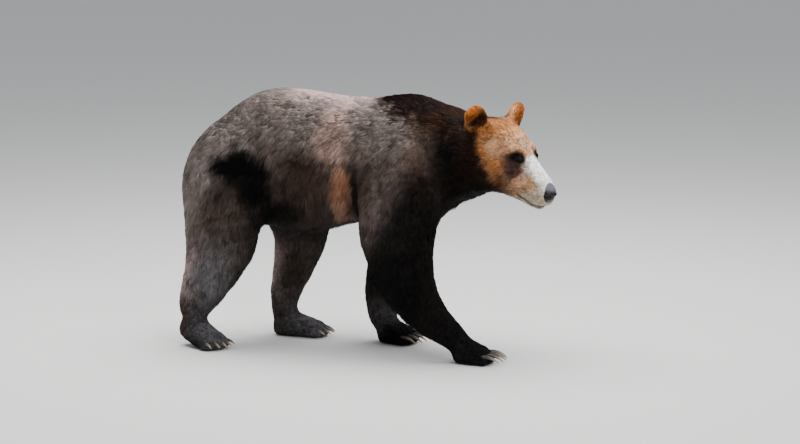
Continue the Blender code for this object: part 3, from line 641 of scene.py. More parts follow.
# %% Make the skin of face and toes finer
LIPS = ((0.236, -0.060), (0.256, -0.067), (0.306, -0.069), (0.334, -0.064), (0.356, -0.056))  # ahead, up
LIP_CREASE = 0.0020  # half the width of the crease between the lips
LIP_BAND, LIP_START = 0.009, 0.235  # half the height of the band of fine skin along them, and where it starts
HEAD_START, HEAD_RADIUS, HEAD_SQUEEZE = -0.03, 0.19, 0.8  # it is taller than wide, so up counts for less
FACE_START, FACE_RADIUS = 0.165, 0.14
NOSE_START, NOSE_BOTTOM = 0.322, -0.055
EYE_REACH, TOE_REACH = 0.0185, 0.034  # how far fine skin goes from an eye's middle or a claw's root
FINE_SMOOTH, FINE_STEPS = 0.35, 3


def lip_level(ahead):
    """Height of the line between the lips at some places along the muzzle."""
    along, up = zip(*LIPS)
    return np.interp(ahead, along, up)


def refine(mesh, chosen):
    """Halves the edges between the chosen vertices, and keeps all else."""
    bm = bmesh.new()
    bm.from_mesh(mesh)
    bm.verts.ensure_lookup_table()
    for vert, pick in zip(bm.verts, chosen):
        vert.tag = bool(pick)
    edges = [edge for edge in bm.edges if edge.verts[0].tag and edge.verts[1].tag]
    bmesh.ops.subdivide_edges(bm, edges=edges, cuts=1, use_grid_fill=True, smooth=0.6)
    bm.to_mesh(mesh)
    bm.free()


def along_axis(points, start, radius, squeeze=1.0):
    """The points of the head ahead of a start and within a radius of its long axis."""
    local = in_head(points)
    return (local[:, 0] > start) & (np.linalg.norm(local[:, 1:] * np.array((1.0, squeeze)), axis=1) < radius)


def head_part(points):
    return along_axis(points, HEAD_START, HEAD_RADIUS, HEAD_SQUEEZE)


def face_part(points):
    return along_axis(points, FACE_START, FACE_RADIUS)


def fine_part(points):
    """The nose, a band along the lips, and the eyes."""
    ahead, _, up = in_head(points).T
    nose = (ahead > NOSE_START) & (up > NOSE_BOTTOM)
    lips = (ahead > LIP_START) & (np.abs(up - lip_level(ahead)) < LIP_BAND)
    return ((nose | lips) & face_part(points)) | (distance_to(points, EYES) < EYE_REACH)


def toe_part(points):
    return distance_to(points, [claw_axis(node)[0] for node in CLAWS]) < TOE_REACH


for part in (head_part, face_part, fine_part, toe_part, toe_part):
    refine(skin.data, part(vertex_array(skin.data)))
points = vertex_array(skin.data)
share = FINE_SMOOTH * (head_part(points) | toe_part(points))
put_vertices(skin.data, softened(skin.data, points, share, FINE_STEPS))
skin.data.calc_loop_triangles()
print("skin", len(skin.data.loop_triangles), "triangles")

# %% Press the small forms into the face
# place in the head's frame (ahead, outward, up), radii, height in millimetres
FACE_RELIEF = [
    ((0.186, 0.046, 0.083), (0.03, 0.026, 0.01), 4.5),
    ((0.232, 0.042, 0.038), (0.016, 0.02, 0.013), -2.5),
    ((0.205, 0.06, 0.022), (0.026, 0.026, 0.015), -2.0),
    ((0.15, 0.08, 0.02), (0.04, 0.04, 0.014), 2.5),
    ((0.13, 0.0, 0.12), (0.07, 0.012, 0.06), -1.5),
    ((0.205, 0.0, 0.08), (0.03, 0.022, 0.03), -1.0),
    ((0.265, 0.0, 0.055), (0.045, 0.012, 0.03), 1.5),
    ((0.265, 0.046, 0.006), (0.035, 0.024, 0.014), -2.5),
    ((0.318, 0.042, -0.036), (0.022, 0.03, 0.018), 3.5),
    ((0.258, 0.05, -0.05), (0.016, 0.03, 0.01), 2.0),
    ((0.325, 0.034, 0.018), (0.012, 0.02, 0.02), -1.5),
    ((0.378, 0.0, -0.004), (0.018, 0.034, 0.022), 4.0),
    ((0.366, 0.0175, -0.011), (0.017, 0.0066, 0.0072), -11.0),  # the nostril
    ((0.354, 0.029, -0.013), (0.016, 0.009, 0.003), -5.5),  # the slit at its side
    ((0.364, 0.018, 0.003), (0.012, 0.013, 0.005), 1.6),
    ((0.35, 0.036, -0.022), (0.01, 0.01, 0.006), 1.2),
]
# the crease between the lips and the roll on either side: place above the crease in half its widths, spread
# in the square of that, and height in millimetres
LIP_FORMS = ((0.0, 1.0, -8.0), (3.4, 5.0, 2.2), (-3.2, 4.0, 0.8))
LIPS_FADE_IN, LIPS_FADE_OUT = (0.232, 0.250), (0.374, 0.360)
PHILTRUM_HALF, PHILTRUM_DEPTH = 0.0014, 1.8  # the groove's half width in metres and depth in millimetres
PHILTRUM_START, PHILTRUM_TOP = (0.350, 0.358), (0.000, -0.012)

ahead, outward, up = in_head(vertex_array(skin.data)).T
mirrored = np.stack([ahead, np.abs(outward), up], axis=1)
height = sum(bell(mirrored, middle, radii) * mm for middle, radii, mm in FACE_RELIEF)
on_muzzle = smoothstep(*LIPS_FADE_IN, ahead) * smoothstep(*LIPS_FADE_OUT, ahead)
above_lip = (up - lip_level(ahead)) / LIP_CREASE
for level, breadth, mm in LIP_FORMS:
    height += mm * on_muzzle * np.exp(-((above_lip - level) ** 2) / breadth)
philtrum = np.exp(-((outward / PHILTRUM_HALF) ** 2)) * smoothstep(*PHILTRUM_START, ahead)
height -= PHILTRUM_DEPTH * philtrum * smoothstep(*PHILTRUM_TOP, up)
raised(skin.data, height / 1000)

# %% Toes: a pad over each, and a groove between neighbours
TOE_SWELL, TOE_GROOVE = 0.0040, 0.0060
KNUCKLE_BACK, KNUCKLE_UP = 0.014, 0.006  # from the claw's root to the top of its toe
TOE_RADIUS, GROOVE_LENGTH, GROOVE_WIDTH = 0.012, 0.026, 0.0042
TOE_BOTTOM = (0.004, 0.014)  # height over the floor at which toes and grooves start and are whole
FEET = sorted({node.removeprefix("claw_").rsplit("_", 1)[0] for node in CLAWS})


def toe_relief(points):
    height = np.zeros(len(points))
    for foot in FEET:
        toes = [claw_axis(node)[:2] for node in CLAWS if node.startswith("claw_" + foot)]
        for base, ahead in toes:
            knuckle = base - ahead * KNUCKLE_BACK + Vector((0, 0, KNUCKLE_UP))
            height += TOE_SWELL * bell(points, knuckle, (TOE_RADIUS,) * 3)
        for (base, ahead), (next_base, next_ahead) in zip(toes, toes[1:]):
            line = np.array((ahead + next_ahead).normalized())
            sideways = np.array((next_base - base).normalized())
            away = points - np.array((base + next_base) / 2) + line * KNUCKLE_BACK
            along, aside = away @ line / GROOVE_LENGTH, away @ sideways / GROOVE_WIDTH
            above = np.abs(away[:, 2]) < 2 * GROOVE_LENGTH
            height -= TOE_GROOVE * np.exp(-(along**2) - aside**2) * above
    return height * smoothstep(*TOE_BOTTOM, points[:, 2])


raised(skin.data, toe_relief(vertex_array(skin.data)))

# %% [markdown]
# The skin itself closes over the eyes. Round each ball it is raised to a lid's thickness over the ball,
# except in an almond-shaped opening, where it is pressed in behind the ball's front. Everything about an
# eye is said in the eye's own frame, as angles round the ball: X looks along the gaze and Y runs along
# the slit.

# %% Open the lids
EYE_RADIUS = (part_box("eye_right")[1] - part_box("eye_right")[0]).z / 2
EYE_SINK = 0.0010  # how much deeper the finished ball sits than its place
GAZE = Vector((0.40, 0.91, 0.08))
SLIT_LIE = Vector((1.0, -0.40, 0.05))
SLIT_HALF_LENGTH = 54.0  # of the opening, in degrees round the ball
UPPER_LID, LOWER_LID = 15.0, 15.0  # how far the opening reaches up and down
SOCKET_DEPTH, LID_THICKNESS = 0.0020, 0.0013
LID_REACH = (2.30, 1.30)  # where the raised skin begins and is whole, in radii of the ball
LID_EDGE = (0.95, 1.25)  # where the skin rises from socket to lid, as places in the slit


def eye_frame(side, hand):
    """The eye's frame: X out along its gaze, Y along the slit, Z up."""
    mirror = Vector((1, hand, 1))
    ahead, slit = ((head_turn.to_3x3() @ (way * mirror)).normalized() for way in (GAZE, SLIT_LIE))
    up = ahead.cross(slit).normalized() * -hand
    slit = (slit - ahead * slit.dot(ahead)).normalized()
    turn = Matrix((ahead, slit, up)).transposed().to_4x4()
    return Matrix.Translation(centre("eye_" + side) - ahead * EYE_SINK) @ turn


def round_eye(side, hand, points):
    """Distance from the ball's middle, and place in the slit: 0 in its middle, 1 at its edge and so on."""
    inverse = np.array(eye_frame(side, hand).inverted())
    here = points @ inverse[:3, :3].T + inverse[:3, 3]
    distance = np.linalg.norm(here, axis=1)
    angle = np.degrees(np.arccos(np.clip(here[:, 0] / np.maximum(distance, 1e-9), -1, 1)))
    turn = np.arctan2(here[:, 2], here[:, 1])
    reach = np.where(here[:, 2] > 0, UPPER_LID, LOWER_LID)
    return distance, np.hypot(angle * np.cos(turn) / SLIT_HALF_LENGTH, angle * np.sin(turn) / reach)


for side, hand in SIDES:
    points = vertex_array(skin.data)
    turned = np.array(eye_frame(side, hand))
    distance, slit = round_eye(side, hand, points)
    lidded = np.maximum(distance, EYE_RADIUS + LID_THICKNESS)
    sunk = np.minimum(distance, EYE_RADIUS - SOCKET_DEPTH)
    wanted = sunk + (lidded - sunk) * smoothstep(*LID_EDGE, slit)
    near = smoothstep(LID_REACH[0] * EYE_RADIUS, LID_REACH[1] * EYE_RADIUS, distance)
    outward = (points - turned[:3, 3]) / np.maximum(distance, 1e-6)[:, None]
    in_front = smoothstep(-0.2, 0.2, outward @ turned[:3, 0])
    put_vertices(skin.data, points + outward * ((wanted - distance) * near * in_front)[:, None])
    print(side, "eye", int((near > 0.5).sum()), "vertices of skin near it")

# %% [markdown]
# The skin is unwrapped on its own shape. Every lock of hair will take its place on this map from the spot
# where it is rooted, so that a colour baked for one agrees with the other. The skin also carries what its
# finish needs to know, as attributes of its vertices: the coat's colour, and where it is bare leather
# instead of furred.

# %% Unwrap the skin and give it its colours
BAKE_MAP = "OFBake"


def smoothly_shaded(mesh):
    mesh.polygons.foreach_set("use_smooth", np.ones(len(mesh.polygons), bool))
    mesh.update()


def unwrapped(obj):
    """Gives the object's mesh a packed unwrap of its own shape."""
    obj.data.uv_layers.new(name=BAKE_MAP)
    bpy.context.view_layer.objects.active = obj
    obj.select_set(True)
    bpy.ops.object.mode_set(mode="EDIT")
    bpy.ops.mesh.select_all(action="SELECT")
    bpy.ops.uv.smart_project(angle_limit=math.radians(66), island_margin=0.002)
    bpy.ops.object.mode_set(mode="OBJECT")
    obj.select_set(False)


def colour_attribute(mesh, name, colours):
    """Stores a linear colour for each vertex."""
    layer = mesh.attributes.new(name, "FLOAT_COLOR", "POINT")
    values = np.ones((len(mesh.vertices), 4), np.float32)
    values[:, :3] = colours
    layer.data.foreach_set("color", values.ravel())


def number_attribute(mesh, name, values):
    layer = mesh.attributes.new(name, "FLOAT", "POINT")
    layer.data.foreach_set("value", np.asarray(values, np.float32))


NOSE_MIDDLE = (0.3570, 0.0, -0.007)  # of the leather, in the head's frame
NOSE_LEAN = -0.60  # how far it shifts ahead for each metre up
NOSE_RADII = (0.038, 0.037, 0.037)
LEATHER, NOSE_TOP_SHEEN = tone(17, 15, 16), tone(104, 104, 110)  # painted sheen on the nose's upper side
NOSE_SHEEN_EDGE = (0.005, 0.018)  # height at which it starts and is whole
NOSE_EDGE, NOSE_BACK = (1.05, 0.97), 0.3  # where leather gives way to fur, in radii, and how far back it goes
BARE_LIP = 0.0046  # half the height of the lips' bare edge
LIP_BACK, LIP_SPREAD = (0.236, 0.250), 0.08  # where it starts behind, and how far out it goes
SOLE_TOP = (0.010, 0.004)  # height over the floor at which the sole's leather starts and is whole
BARE_LID, LID_OUT = (1.75, 1.45), 1.7  # the bare lids' edge as places in the slit, and their reach in radii


def nose_share(points, hairy=0.0):
    """1 on the nose's leather and 0 elsewhere. hairy shrinks it."""
    away = in_head(points) - np.array(NOSE_MIDDLE)
    ahead = away[:, 0] + NOSE_MIDDLE[0]
    away[:, 0] -= NOSE_LEAN * away[:, 2]
    away = np.linalg.norm(away / np.array(NOSE_RADII), axis=1) + hairy
    return smoothstep(*NOSE_EDGE, away) * (ahead > NOSE_BACK)


def leather_share(points, hairy=0.0):
    """1 on the nose, the lips' edge, the lids and the soles, and 0 on furred skin."""
    ahead, outward, up = in_head(points).T
    lips = smoothstep(*LIP_BACK, ahead) * (np.abs(outward) < LIP_SPREAD)
    lips *= np.exp(-(((up - lip_level(ahead)) / BARE_LIP) ** 2))
    shares = [nose_share(points, hairy), lips, smoothstep(*SOLE_TOP, points[:, 2])]
    for side, hand in SIDES:
        distance, slit = round_eye(side, hand, points)
        shares.append(smoothstep(*BARE_LID, slit) * (distance < LID_OUT * EYE_RADIUS))
    return np.maximum.reduce(shares)


smoothly_shaded(skin.data)
unwrapped(skin)
points = vertex_array(skin.data)
colour = painted(points)[3]
leather, wet = leather_share(points), nose_share(points)
# painted sheen: the nose's leather is painted light grey towards its top, where it would shine
paler_share = smoothstep(*NOSE_SHEEN_EDGE, in_head(points)[:, 2]) * wet
hide = LEATHER + (NOSE_TOP_SHEEN - LEATHER) * paler_share[:, None]
colour_attribute(skin.data, "coat_colour", colour + (hide - colour) * leather[:, None])
number_attribute(skin.data, "leather", leather)
number_attribute(skin.data, "wet", wet)
print("skin done at", round(time.time() - started, 1), "s")

# %% [markdown]
# ## The coat
#
# A single hair is far too fine to model, but wet fur gathers in locks anyway. One lock is a slender
# closed kite of four triangles: it starts as a point in the skin, widens to its middle, which stands
# highest, and is drawn out to a point again. It follows the lie of the coat for its own length, and keeps
# close to the body however that curves, because its middle and its tip are both set from the nearest spot
# of the skin.

# %% How many locks, and how wide
# coat length in metres, locks per square metre, width of a lock in metres
THICKNESS_OF_GROWTH = ((0.006, 560000, 0.0008), (0.012, 330000, 0.0011), (0.022, 190000, 0.0016),
                       (0.032, 130000, 0.0020), (0.060, 90000, 0.0026))
LOCK_TRIANGLES = 4
PIECE_TRIANGLES, COAT_TRIANGLES = 190000, 1440000  # the most in one piece and in the whole coat
HEAD_DENSER, HEAD_END = 0.5, (0.34, 0.26)  # how much denser the coat is on the head, and where that fades
BARE_EDGE = (0.70, 0.96)  # share of leather at which hair thins out and is gone
NOSE_HAIR = 0.10  # how far hair grows in over the edge of the nose, in shares of its radius


def growth(length):
    """(locks per square metre, width of a lock) for some coat lengths."""
    lengths, density, width = zip(*THICKNESS_OF_GROWTH)
    return np.interp(length, lengths, density), np.interp(length, lengths, width)


# %% Root the locks in the skin
def corner_data(mesh):
    """The corners of each triangle of a mesh as vertex numbers, and their places on the bake map."""
    mesh.calc_loop_triangles()
    corners, loops = (gathered(mesh.loop_triangles, name, 3, np.int32) for name in ("vertices", "loops"))
    return corners, gathered(mesh.uv_layers[BAKE_MAP].data, "uv", 2)[loops]


def unit(vectors):
    return vectors / np.maximum(np.linalg.norm(vectors, axis=1), 1e-9)[:, None]


def in_plane(vectors, normals):
    """The part of each vector that lies along the surface, at length 1."""
    return unit(vectors - normals * (vectors * normals).sum(1)[:, None])


points = vertex_array(skin.data)
normals = normal_array(skin.data)
corners, corner_uv = corner_data(skin.data)
spots = points[corners]
area = np.linalg.norm(np.cross(spots[:, 1] - spots[:, 0], spots[:, 2] - spots[:, 0]), axis=1) / 2
bare = leather_share(points, NOSE_HAIR)[corners].mean(1)
density = growth(groomed(points)[1][corners].mean(1))[0] * (1 - smoothstep(*BARE_EDGE, bare))
density *= 1 + HEAD_DENSER * smoothstep(*HEAD_END, np.linalg.norm(in_head(spots.mean(1)), axis=1))
wanted = np.cumsum(area * density)
total = int(min(wanted[-1], COAT_TRIANGLES / LOCK_TRIANGLES))
print("locks wanted", int(wanted[-1]), "grown", total)
draw = (np.arange(total) + rng.random(total)) * wanted[-1] / total
chosen = np.minimum(np.searchsorted(wanted, draw), len(wanted) - 1)
first, second = rng.random((2, total))
fold = first + second > 1
first[fold], second[fold] = 1 - first[fold], 1 - second[fold]
mix = np.stack([1 - first - second, first, second], axis=1)[:, :, None]
root = (points[corners[chosen]] * mix).sum(1)
root_normal = unit((normals[corners[chosen]] * mix).sum(1))
root_uv = (corner_uv[chosen] * mix).sum(1)

# %% Comb them
LIE_WANDER = ((11.0, 0.24), (38.0, 0.15))  # how finely the lie wanders, and by how much
LIE_SCATTER = 0.10  # and from lock to lock
STAND = (0.60, 0.92)  # height of a lock's middle and tip, in shares of the coat's depth
MID_SHARE = 0.45  # where along the lock its middle is
MID_HANG, HANG = 0.15, 0.50  # how far middle and tip sink under the body, in shares of the lock's length
HANG_FACING = (0.15, -0.75)  # how far up the skin faces where hanging starts and is whole
HANG_HEIGHT = (0.05, 0.20)  # and how high over the floor
EAR_BASE = 0.060  # how far under an ear's middle its hair fans out from
EAR_REACH = (0.064, 0.0448)  # how far from its middle that starts and is whole
LENGTH_NOISE = (24.0, 5.0, 0.28)  # fineness, seed and strength
LENGTH_SPREAD, WIDTH_SPREAD, LIFT_SPREAD = (0.70, 0.5), (0.70, 0.6), (0.75, 0.45)  # least, and random part

lie, length, depth, colour, pale = painted(root)
lie = unit(lie)
for ear in EARS:
    from_ear = root - np.array(ear)
    on_ear = smoothstep(*EAR_REACH, np.linalg.norm(from_ear, axis=1))[:, None]
    lie += (unit(from_ear + np.array((0, 0, EAR_BASE))) - lie) * on_ear
lie += rng.normal(size=(total, 3)) * LIE_SCATTER
for scale, amount in LIE_WANDER:
    lie += np.stack([rough_noise(root, scale, seed) for seed in (11.0, 23.0, 37.0)], axis=1) * amount
lie = in_plane(lie, root_normal)
chance = rng.random(total)


def spread(least, more):
    """A random factor for each lock."""
    return least + more * rng.random(total)


length *= spread(*LENGTH_SPREAD) * (1 + LENGTH_NOISE[2] * rough_noise(root, *LENGTH_NOISE[:2]))
width = growth(length)[1] * spread(*WIDTH_SPREAD)
lift = depth * spread(*LIFT_SPREAD)

skin_tree = BVHTree.FromPolygons([Vector(point) for point in points], corners.tolist())


def on_skin(targets):
    """The nearest spots of the skin to some points, and its normals there."""
    found = [skin_tree.find_nearest(target)[:2] for target in targets.tolist()]
    return np.array([spot for spot, _ in found]), np.array([normal for _, normal in found])


mid_spot, mid_normal = on_skin(root + lie * (length * MID_SHARE)[:, None])
tip_lie = in_plane(lie, mid_normal)
tip_spot, tip_normal = on_skin(mid_spot + tip_lie * (length * (1 - MID_SHARE))[:, None])
middle = mid_spot + mid_normal * (lift * STAND[0])[:, None]
tip = tip_spot + tip_normal * (lift * STAND[1])[:, None]
under = smoothstep(*HANG_FACING, tip_normal[:, 2]) * smoothstep(*HANG_HEIGHT, root[:, 2])
for part, hang in ((middle, MID_HANG), (tip, HANG)):
    part[:, 2] -= under * length * hang
clear = np.maximum(leather_share(tip), leather_share(middle)) < 0.5
locks = (root, root_normal, root_uv, mid_normal, middle, tip, lie, width, colour, pale, chance)
root, root_normal, root_uv, mid_normal, middle, tip, lie, width, colour, pale, chance = (
    values[clear] for values in locks
)
total = len(root)
print(total, "locks combed at", round(time.time() - started, 1), "s")

# %% [markdown]
# Neighbouring locks lean together towards a shared tip, as wet fur does: first in large loose clumps, and
# then in small tight ones. A clump also shares its brightness, so the coat looks parted and not evenly
# bristled.

# %% Gather them into clumps
# share of the locks that lead the others, pull on middles, pull on tips, share of the leader's brightness
CLUMPS = ((0.008, 0.05, 0.18, 0.30), (0.06, 0.10, 0.38, 0.65))
SAME_WAY = 0.6  # cosine of the widest angle between a lock and the leader it follows
for share, mid_pull, tip_pull, likeness in CLUMPS:
    leaders = np.flatnonzero(rng.random(total) < share)
    tree = KDTree(len(leaders))
    for number, leader in enumerate(leaders):
        tree.insert(root[leader], number)
    tree.balance()
    leader = leaders[[tree.find(spot)[1] for spot in root.tolist()]]
    leader = np.where((lie * lie[leader]).sum(1) > SAME_WAY, leader, np.arange(total))
    middle += (middle[leader] - middle) * mid_pull
    tip += (tip[leader] - tip) * tip_pull
    chance += (chance[leader] - chance) * likeness
print("gathered at", round(time.time() - started, 1), "s")

# %% [markdown]
# Each lock has four points. All locks of one region are joined in one mesh, straight from arrays. Each
# lock also gets its own little patch of the bake map, round the place of its root: across the patch goes
# across the lock, and up the patch goes from root to tip.

# %% Build the locks
ROOT_SINK = 0.0015  # how deep a lock starts under the skin
TWIST = 0.50  # how far a lock may turn about its own length, in radians
BAKE_PATCH = 0.003
LOCK_FACES = np.array(((0, 1, 3), (0, 3, 2), (0, 2, 1), (3, 1, 2)))  # of root, left, right and tip
LOCK_UV = np.array(((0.0, -0.5), (-0.5, 0.0), (0.5, 0.0), (0.0, 0.5)))
LOCK_ALONG = np.array((0.0, MID_SHARE, MID_SHARE, 1.0))
POINTS = len(LOCK_ALONG)
LOWEST = 0.0004  # nothing of the bear comes nearer to the floor

along = unit(tip - root)
outward = in_plane(root_normal + mid_normal, along)
across = np.cross(along, outward)
twist = (rng.random(total) * 2 - 1)[:, None] * TWIST
across = (across * np.cos(twist) + outward * np.sin(twist)) * width[:, None] / 2
lock = np.stack([root - root_normal * ROOT_SINK, middle - across, middle + across, tip], axis=1)
print("locks", total, "lowest", round(lock[:, :, 2].min(), 4))
lock[:, :, 2] = np.maximum(lock[:, :, 2], LOWEST)


# %% Part the coat into pieces by region
REGIONS = {
    "face": ("lower_jaw", "nose"),
    "head": ("head", "ear_right", "ear_left"),
    "neck": ("neck",),
    "trunk": ("trunk", "tail"),
    "foreleg": ("shoulder_and_upper_arm", "forearm", "forepaw"),
    "hindleg": ("thigh", "shank", "hind_foot"),
}


def region_of(spots):
    """The region and side of each root, as its nearest CAD piece says."""
    names, triangles, vertices = [], [], []
    for node in FLESH:
        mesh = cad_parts[node].data
        mesh.calc_loop_triangles()
        base = len(vertices)
        vertices += [vert.co for vert in mesh.vertices]
        triangles += [[base + corner for corner in face.vertices] for face in mesh.loop_triangles]
        names += [node] * len(mesh.loop_triangles)
    near = BVHTree.FromPolygons(vertices, triangles)
    regions = []
    for spot in spots.tolist():
        node = names[near.find_nearest(spot)[2]]
        side = "right" if spot[1] < 0 else "left"
        if node.endswith(("_right", "_left")) and not node.startswith("ear"):
            side = node.rsplit("_", 1)[1]
            node = node.removesuffix("_" + side)
        region = next(name for name, nodes in REGIONS.items() if node in nodes)
        regions.append(f"{region}_{side}")
    return np.array(regions)


def coat_piece(name, mine):
    """One mesh that holds the chosen locks, with its attributes and its place on the bake map."""
    count = len(mine)
    mesh = bpy.data.meshes.new(name)
    mesh.vertices.add(count * POINTS)
    mesh.vertices.foreach_set("co", lock[mine].astype(np.float32).ravel())
    faces = (np.arange(count)[:, None, None] * POINTS + LOCK_FACES[None]).reshape(-1)
    mesh.loops.add(len(faces))
    mesh.loops.foreach_set("vertex_index", faces.astype(np.int32))
    mesh.polygons.add(len(faces) // 3)
    mesh.polygons.foreach_set("loop_start", np.arange(0, len(faces), 3, dtype=np.int32))
    smoothly_shaded(mesh)
    colour_attribute(mesh, "coat_colour", np.repeat(colour[mine], POINTS, axis=0))
    number_attribute(mesh, "along", np.tile(LOCK_ALONG, count))
    number_attribute(mesh, "chance", np.repeat(chance[mine], POINTS))
    number_attribute(mesh, "pale_tip", np.repeat(pale[mine], POINTS))
    corners = root_uv[mine][:, None, :] + LOCK_UV[None] * BAKE_PATCH
    layer = mesh.uv_layers.new(name=BAKE_MAP)
    layer.data.foreach_set("uv", corners.reshape(-1, 2)[faces].astype(np.float32).ravel())
    mesh.validate()
    return in_scene(name, mesh)


regions = region_of(root)
coat = []
for region in sorted(set(regions)):
    mine = np.flatnonzero(regions == region)
    parts = math.ceil(len(mine) * LOCK_TRIANGLES / PIECE_TRIANGLES)
    ahead = mine[np.argsort(root[mine, 0])]
    for number, chunk in enumerate(np.array_split(ahead, parts), start=1):
        coat.append(coat_piece(f"coat_{region}_{number}" if parts > 1 else f"coat_{region}", chunk))
        print(coat[-1].name, len(chunk), "locks")
print("coat done at", round(time.time() - started, 1), "s")

# %% [markdown]
# ## Shader maths in plain Python
#
# A material is a sum over the surface: this colour there, rougher here. Written as nodes it is a tangle,
# so one small class wraps a node's output and lets Python's own signs build the nodes.


# %% A socket that can be added and multiplied
class Signal:
    """A node's output. Plus, minus and times add Math nodes."""

    def __init__(self, finish, socket):
        self.finish, self.socket = finish, socket

    def maths(self, operation, *values):
        return self.finish.node("ShaderNodeMath", {"operation": operation}, dict(enumerate(values)))

    def __add__(self, other):
        return self.maths("ADD", self, other)

    def __sub__(self, other):
        return self.maths("SUBTRACT", self, other)

    def __rsub__(self, other):
        return self.maths("SUBTRACT", other, self)

    def __mul__(self, other):
        return self.maths("MULTIPLY", self, other)

    __radd__ = __add__

    def between(self, low, high):
        """0 at low, 1 at high, and smooth in between."""
        settings = {"interpolation_type": "SMOOTHSTEP"}
        return self.finish.node("ShaderNodeMapRange", settings, {0: self, 1: low, 2: high})


class Finish:
    """A material with one Principled shader, built up by expressions."""

    def __init__(self, name, **fixed):
        self.material = bpy.data.materials.new(name)
        self.material.use_nodes = True
        self.tree = self.material.node_tree
        self.shader = self.tree.nodes["Principled BSDF"]
        self.to(**fixed)

    def node(self, kind, settings=None, inputs=None, output=0):
        """Adds a node with its settings first, then its inputs, and gives one of its outputs as a Signal."""
        made = self.tree.nodes.new(kind)
        for name, value in (settings or {}).items():
            setattr(made, name, value)
        for key, value in (inputs or {}).items():
            self.feed(made.inputs[key], value)
        return Signal(self, made.outputs[output])

    def feed(self, socket, value):
        if isinstance(value, Signal):
            self.tree.links.new(value.socket, socket)
        elif socket.type == "RGBA" and len(value) == 3:
            socket.default_value = (*value, 1.0)
        else:
            socket.default_value = value

    def to(self, **inputs):
        """Sets or feeds sockets of the shader, such as Base_Color."""
        for name, value in inputs.items():
            self.feed(self.shader.inputs[name.replace("_", " ")], value)

    def place(self):
        return self.node("ShaderNodeTexCoord", output="Object")

    def attribute(self, name, output="Fac"):
        return self.node("ShaderNodeAttribute", {"attribute_name": name}, output=output)

    def noise(self, scale, detail=2.0, roughness=0.5):
        inputs = {"Vector": self.place(), "Scale": scale, "Detail": detail, "Roughness": roughness}
        return self.node("ShaderNodeTexNoise", None, inputs, "Fac")

    def mix(self, share, first, second, blend="MIX", **settings):
        """first where share is 0 and second where it is 1, for colours."""
        settings |= {"data_type": "RGBA", "blend_type": blend}
        return self.node("ShaderNodeMix", settings, {0: share, 6: first, 7: second}, 2)

    def shaded(self, colour, amount):
        """A colour made darker or lighter by a number."""
        inputs = {0: colour, "Scale": amount}
        return self.node("ShaderNodeVectorMath", {"operation": "SCALE"}, inputs)

    def bump(self, height, strength, distance):
        inputs = {"Height": height, "Strength": strength, "Distance": distance}
        self.to(Normal=self.node("ShaderNodeBump", None, inputs))


# %% [markdown]
# ## Finishes
#
# Coat and skin share one colour rule. A lock is dark at its root, where other hair shades it and dust and
# water gather, takes its own colour along its length, and ends in a pale tip: bleached by the sun on the
# back and rump, and in part a painted sheen, where wet hair would catch the light.

# %% The coat's finish
COAT_SHEEN = 0.07
ROOT_SHADE, ROOT_SPAN = 0.44, (-0.1, 0.7)  # brightness at the root, and from where to where it clears up
# pale tips are sun-bleached hair, and in part a painted sheen where wet hair would catch the light
TIP_GAIN, TIP_GREY = 2.1, (0.085, 0.074, 0.064)  # a pale tip is its own colour brightened, plus grey
TIP_SPAN, TIP_STRENGTH = (0.30, 1.0), 0.85  # where along a lock the pale tip starts and is whole
LOCK_VARIETY, PATCH_VARIETY = 1.6, 0.6  # how brightness differs from lock to lock and from patch to patch


def coat_finish():
    finish = Finish("coat", Specular_IOR_Level=COAT_SHEEN)
    own = finish.attribute("coat_colour", "Color")
    along = finish.attribute("along")
    chance = finish.attribute("chance")
    patchy = finish.noise(38.0, 3.0, 0.6)
    value = (chance - 0.5) * LOCK_VARIETY + (patchy - 0.5) * PATCH_VARIETY + 1.0
    dusk = along.between(*ROOT_SPAN) * (1 - ROOT_SHADE) + ROOT_SHADE
    body = finish.shaded(own, value * dusk)
    # the pale tip's colour: sun-bleached hair, and in part a painted sheen
    tip_colour = finish.mix(1.0, finish.shaded(own, TIP_GAIN), TIP_GREY, "ADD", clamp_result=True)
    tipped = along.between(*TIP_SPAN) * finish.attribute("pale_tip") * (chance * 1.2 + 0.1) * TIP_STRENGTH
    finish.to(Base_Color=finish.mix(tipped, body, tip_colour), Roughness=0.64 - patchy * 0.2)
    return finish.material


# %% The skin's finish: underfur in painted shade, and bare leather on nose, lips and soles
def skin_finish():
    finish = Finish("skin", Specular_IOR_Level=COAT_SHEEN, Coat_Roughness=0.22)
    own = finish.attribute("coat_colour", "Color")
    leather = finish.attribute("leather")
    grain = finish.noise(260.0, 4.0, 0.65)
    strands = finish.noise(90.0, 5.0, 0.7)
    # painted shade: the underfur seen between the locks is darkened to a third to three quarters of the
    # coat's colour
    fur = 0.36 + strands * 0.40
    pebbles = {"Vector": finish.place(), "Scale": 620.0}
    cells = finish.node("ShaderNodeTexVoronoi", {"feature": "F1"}, pebbles, "Distance")
    hide = 0.75 + grain * 0.5
    finish.to(
        Base_Color=finish.shaded(own, fur + (hide - fur) * leather),
        Coat_Weight=finish.attribute("wet") * 0.3,
        Roughness=0.75 - leather * (0.40 - cells * 0.15),
    )
    finish.bump(strands * (1 - leather) + cells * leather * 0.5, 0.55, 0.0012)
    return finish.material


def dressed(obj, material):
    """Gives an object one material and no other."""
    obj.data.materials.clear()
    obj.data.materials.append(material)


coat_material = coat_finish()
dressed(skin, skin_finish())
for piece in coat:
    dressed(piece, coat_material)

# %% [markdown]
# ## Eyes
#
# A bear's eye is small, dark and wet. The ball is a fine sphere with the cornea's slight bulge, a brown
# iris and a black pupil. The lids are one almond-shaped ring of skin: it starts at the lid's edge on the
# ball, turns over the edge's thickness, and runs back over the ball until it sinks into the face.

# %% Eyeballs
CORNEA_HALF_ANGLE, CORNEA_RISE = 34.0, 0.0008
PUPIL_EDGE, IRIS_EDGE = (13.0, 15.0), (30.0, 34.0)  # in degrees from the gaze


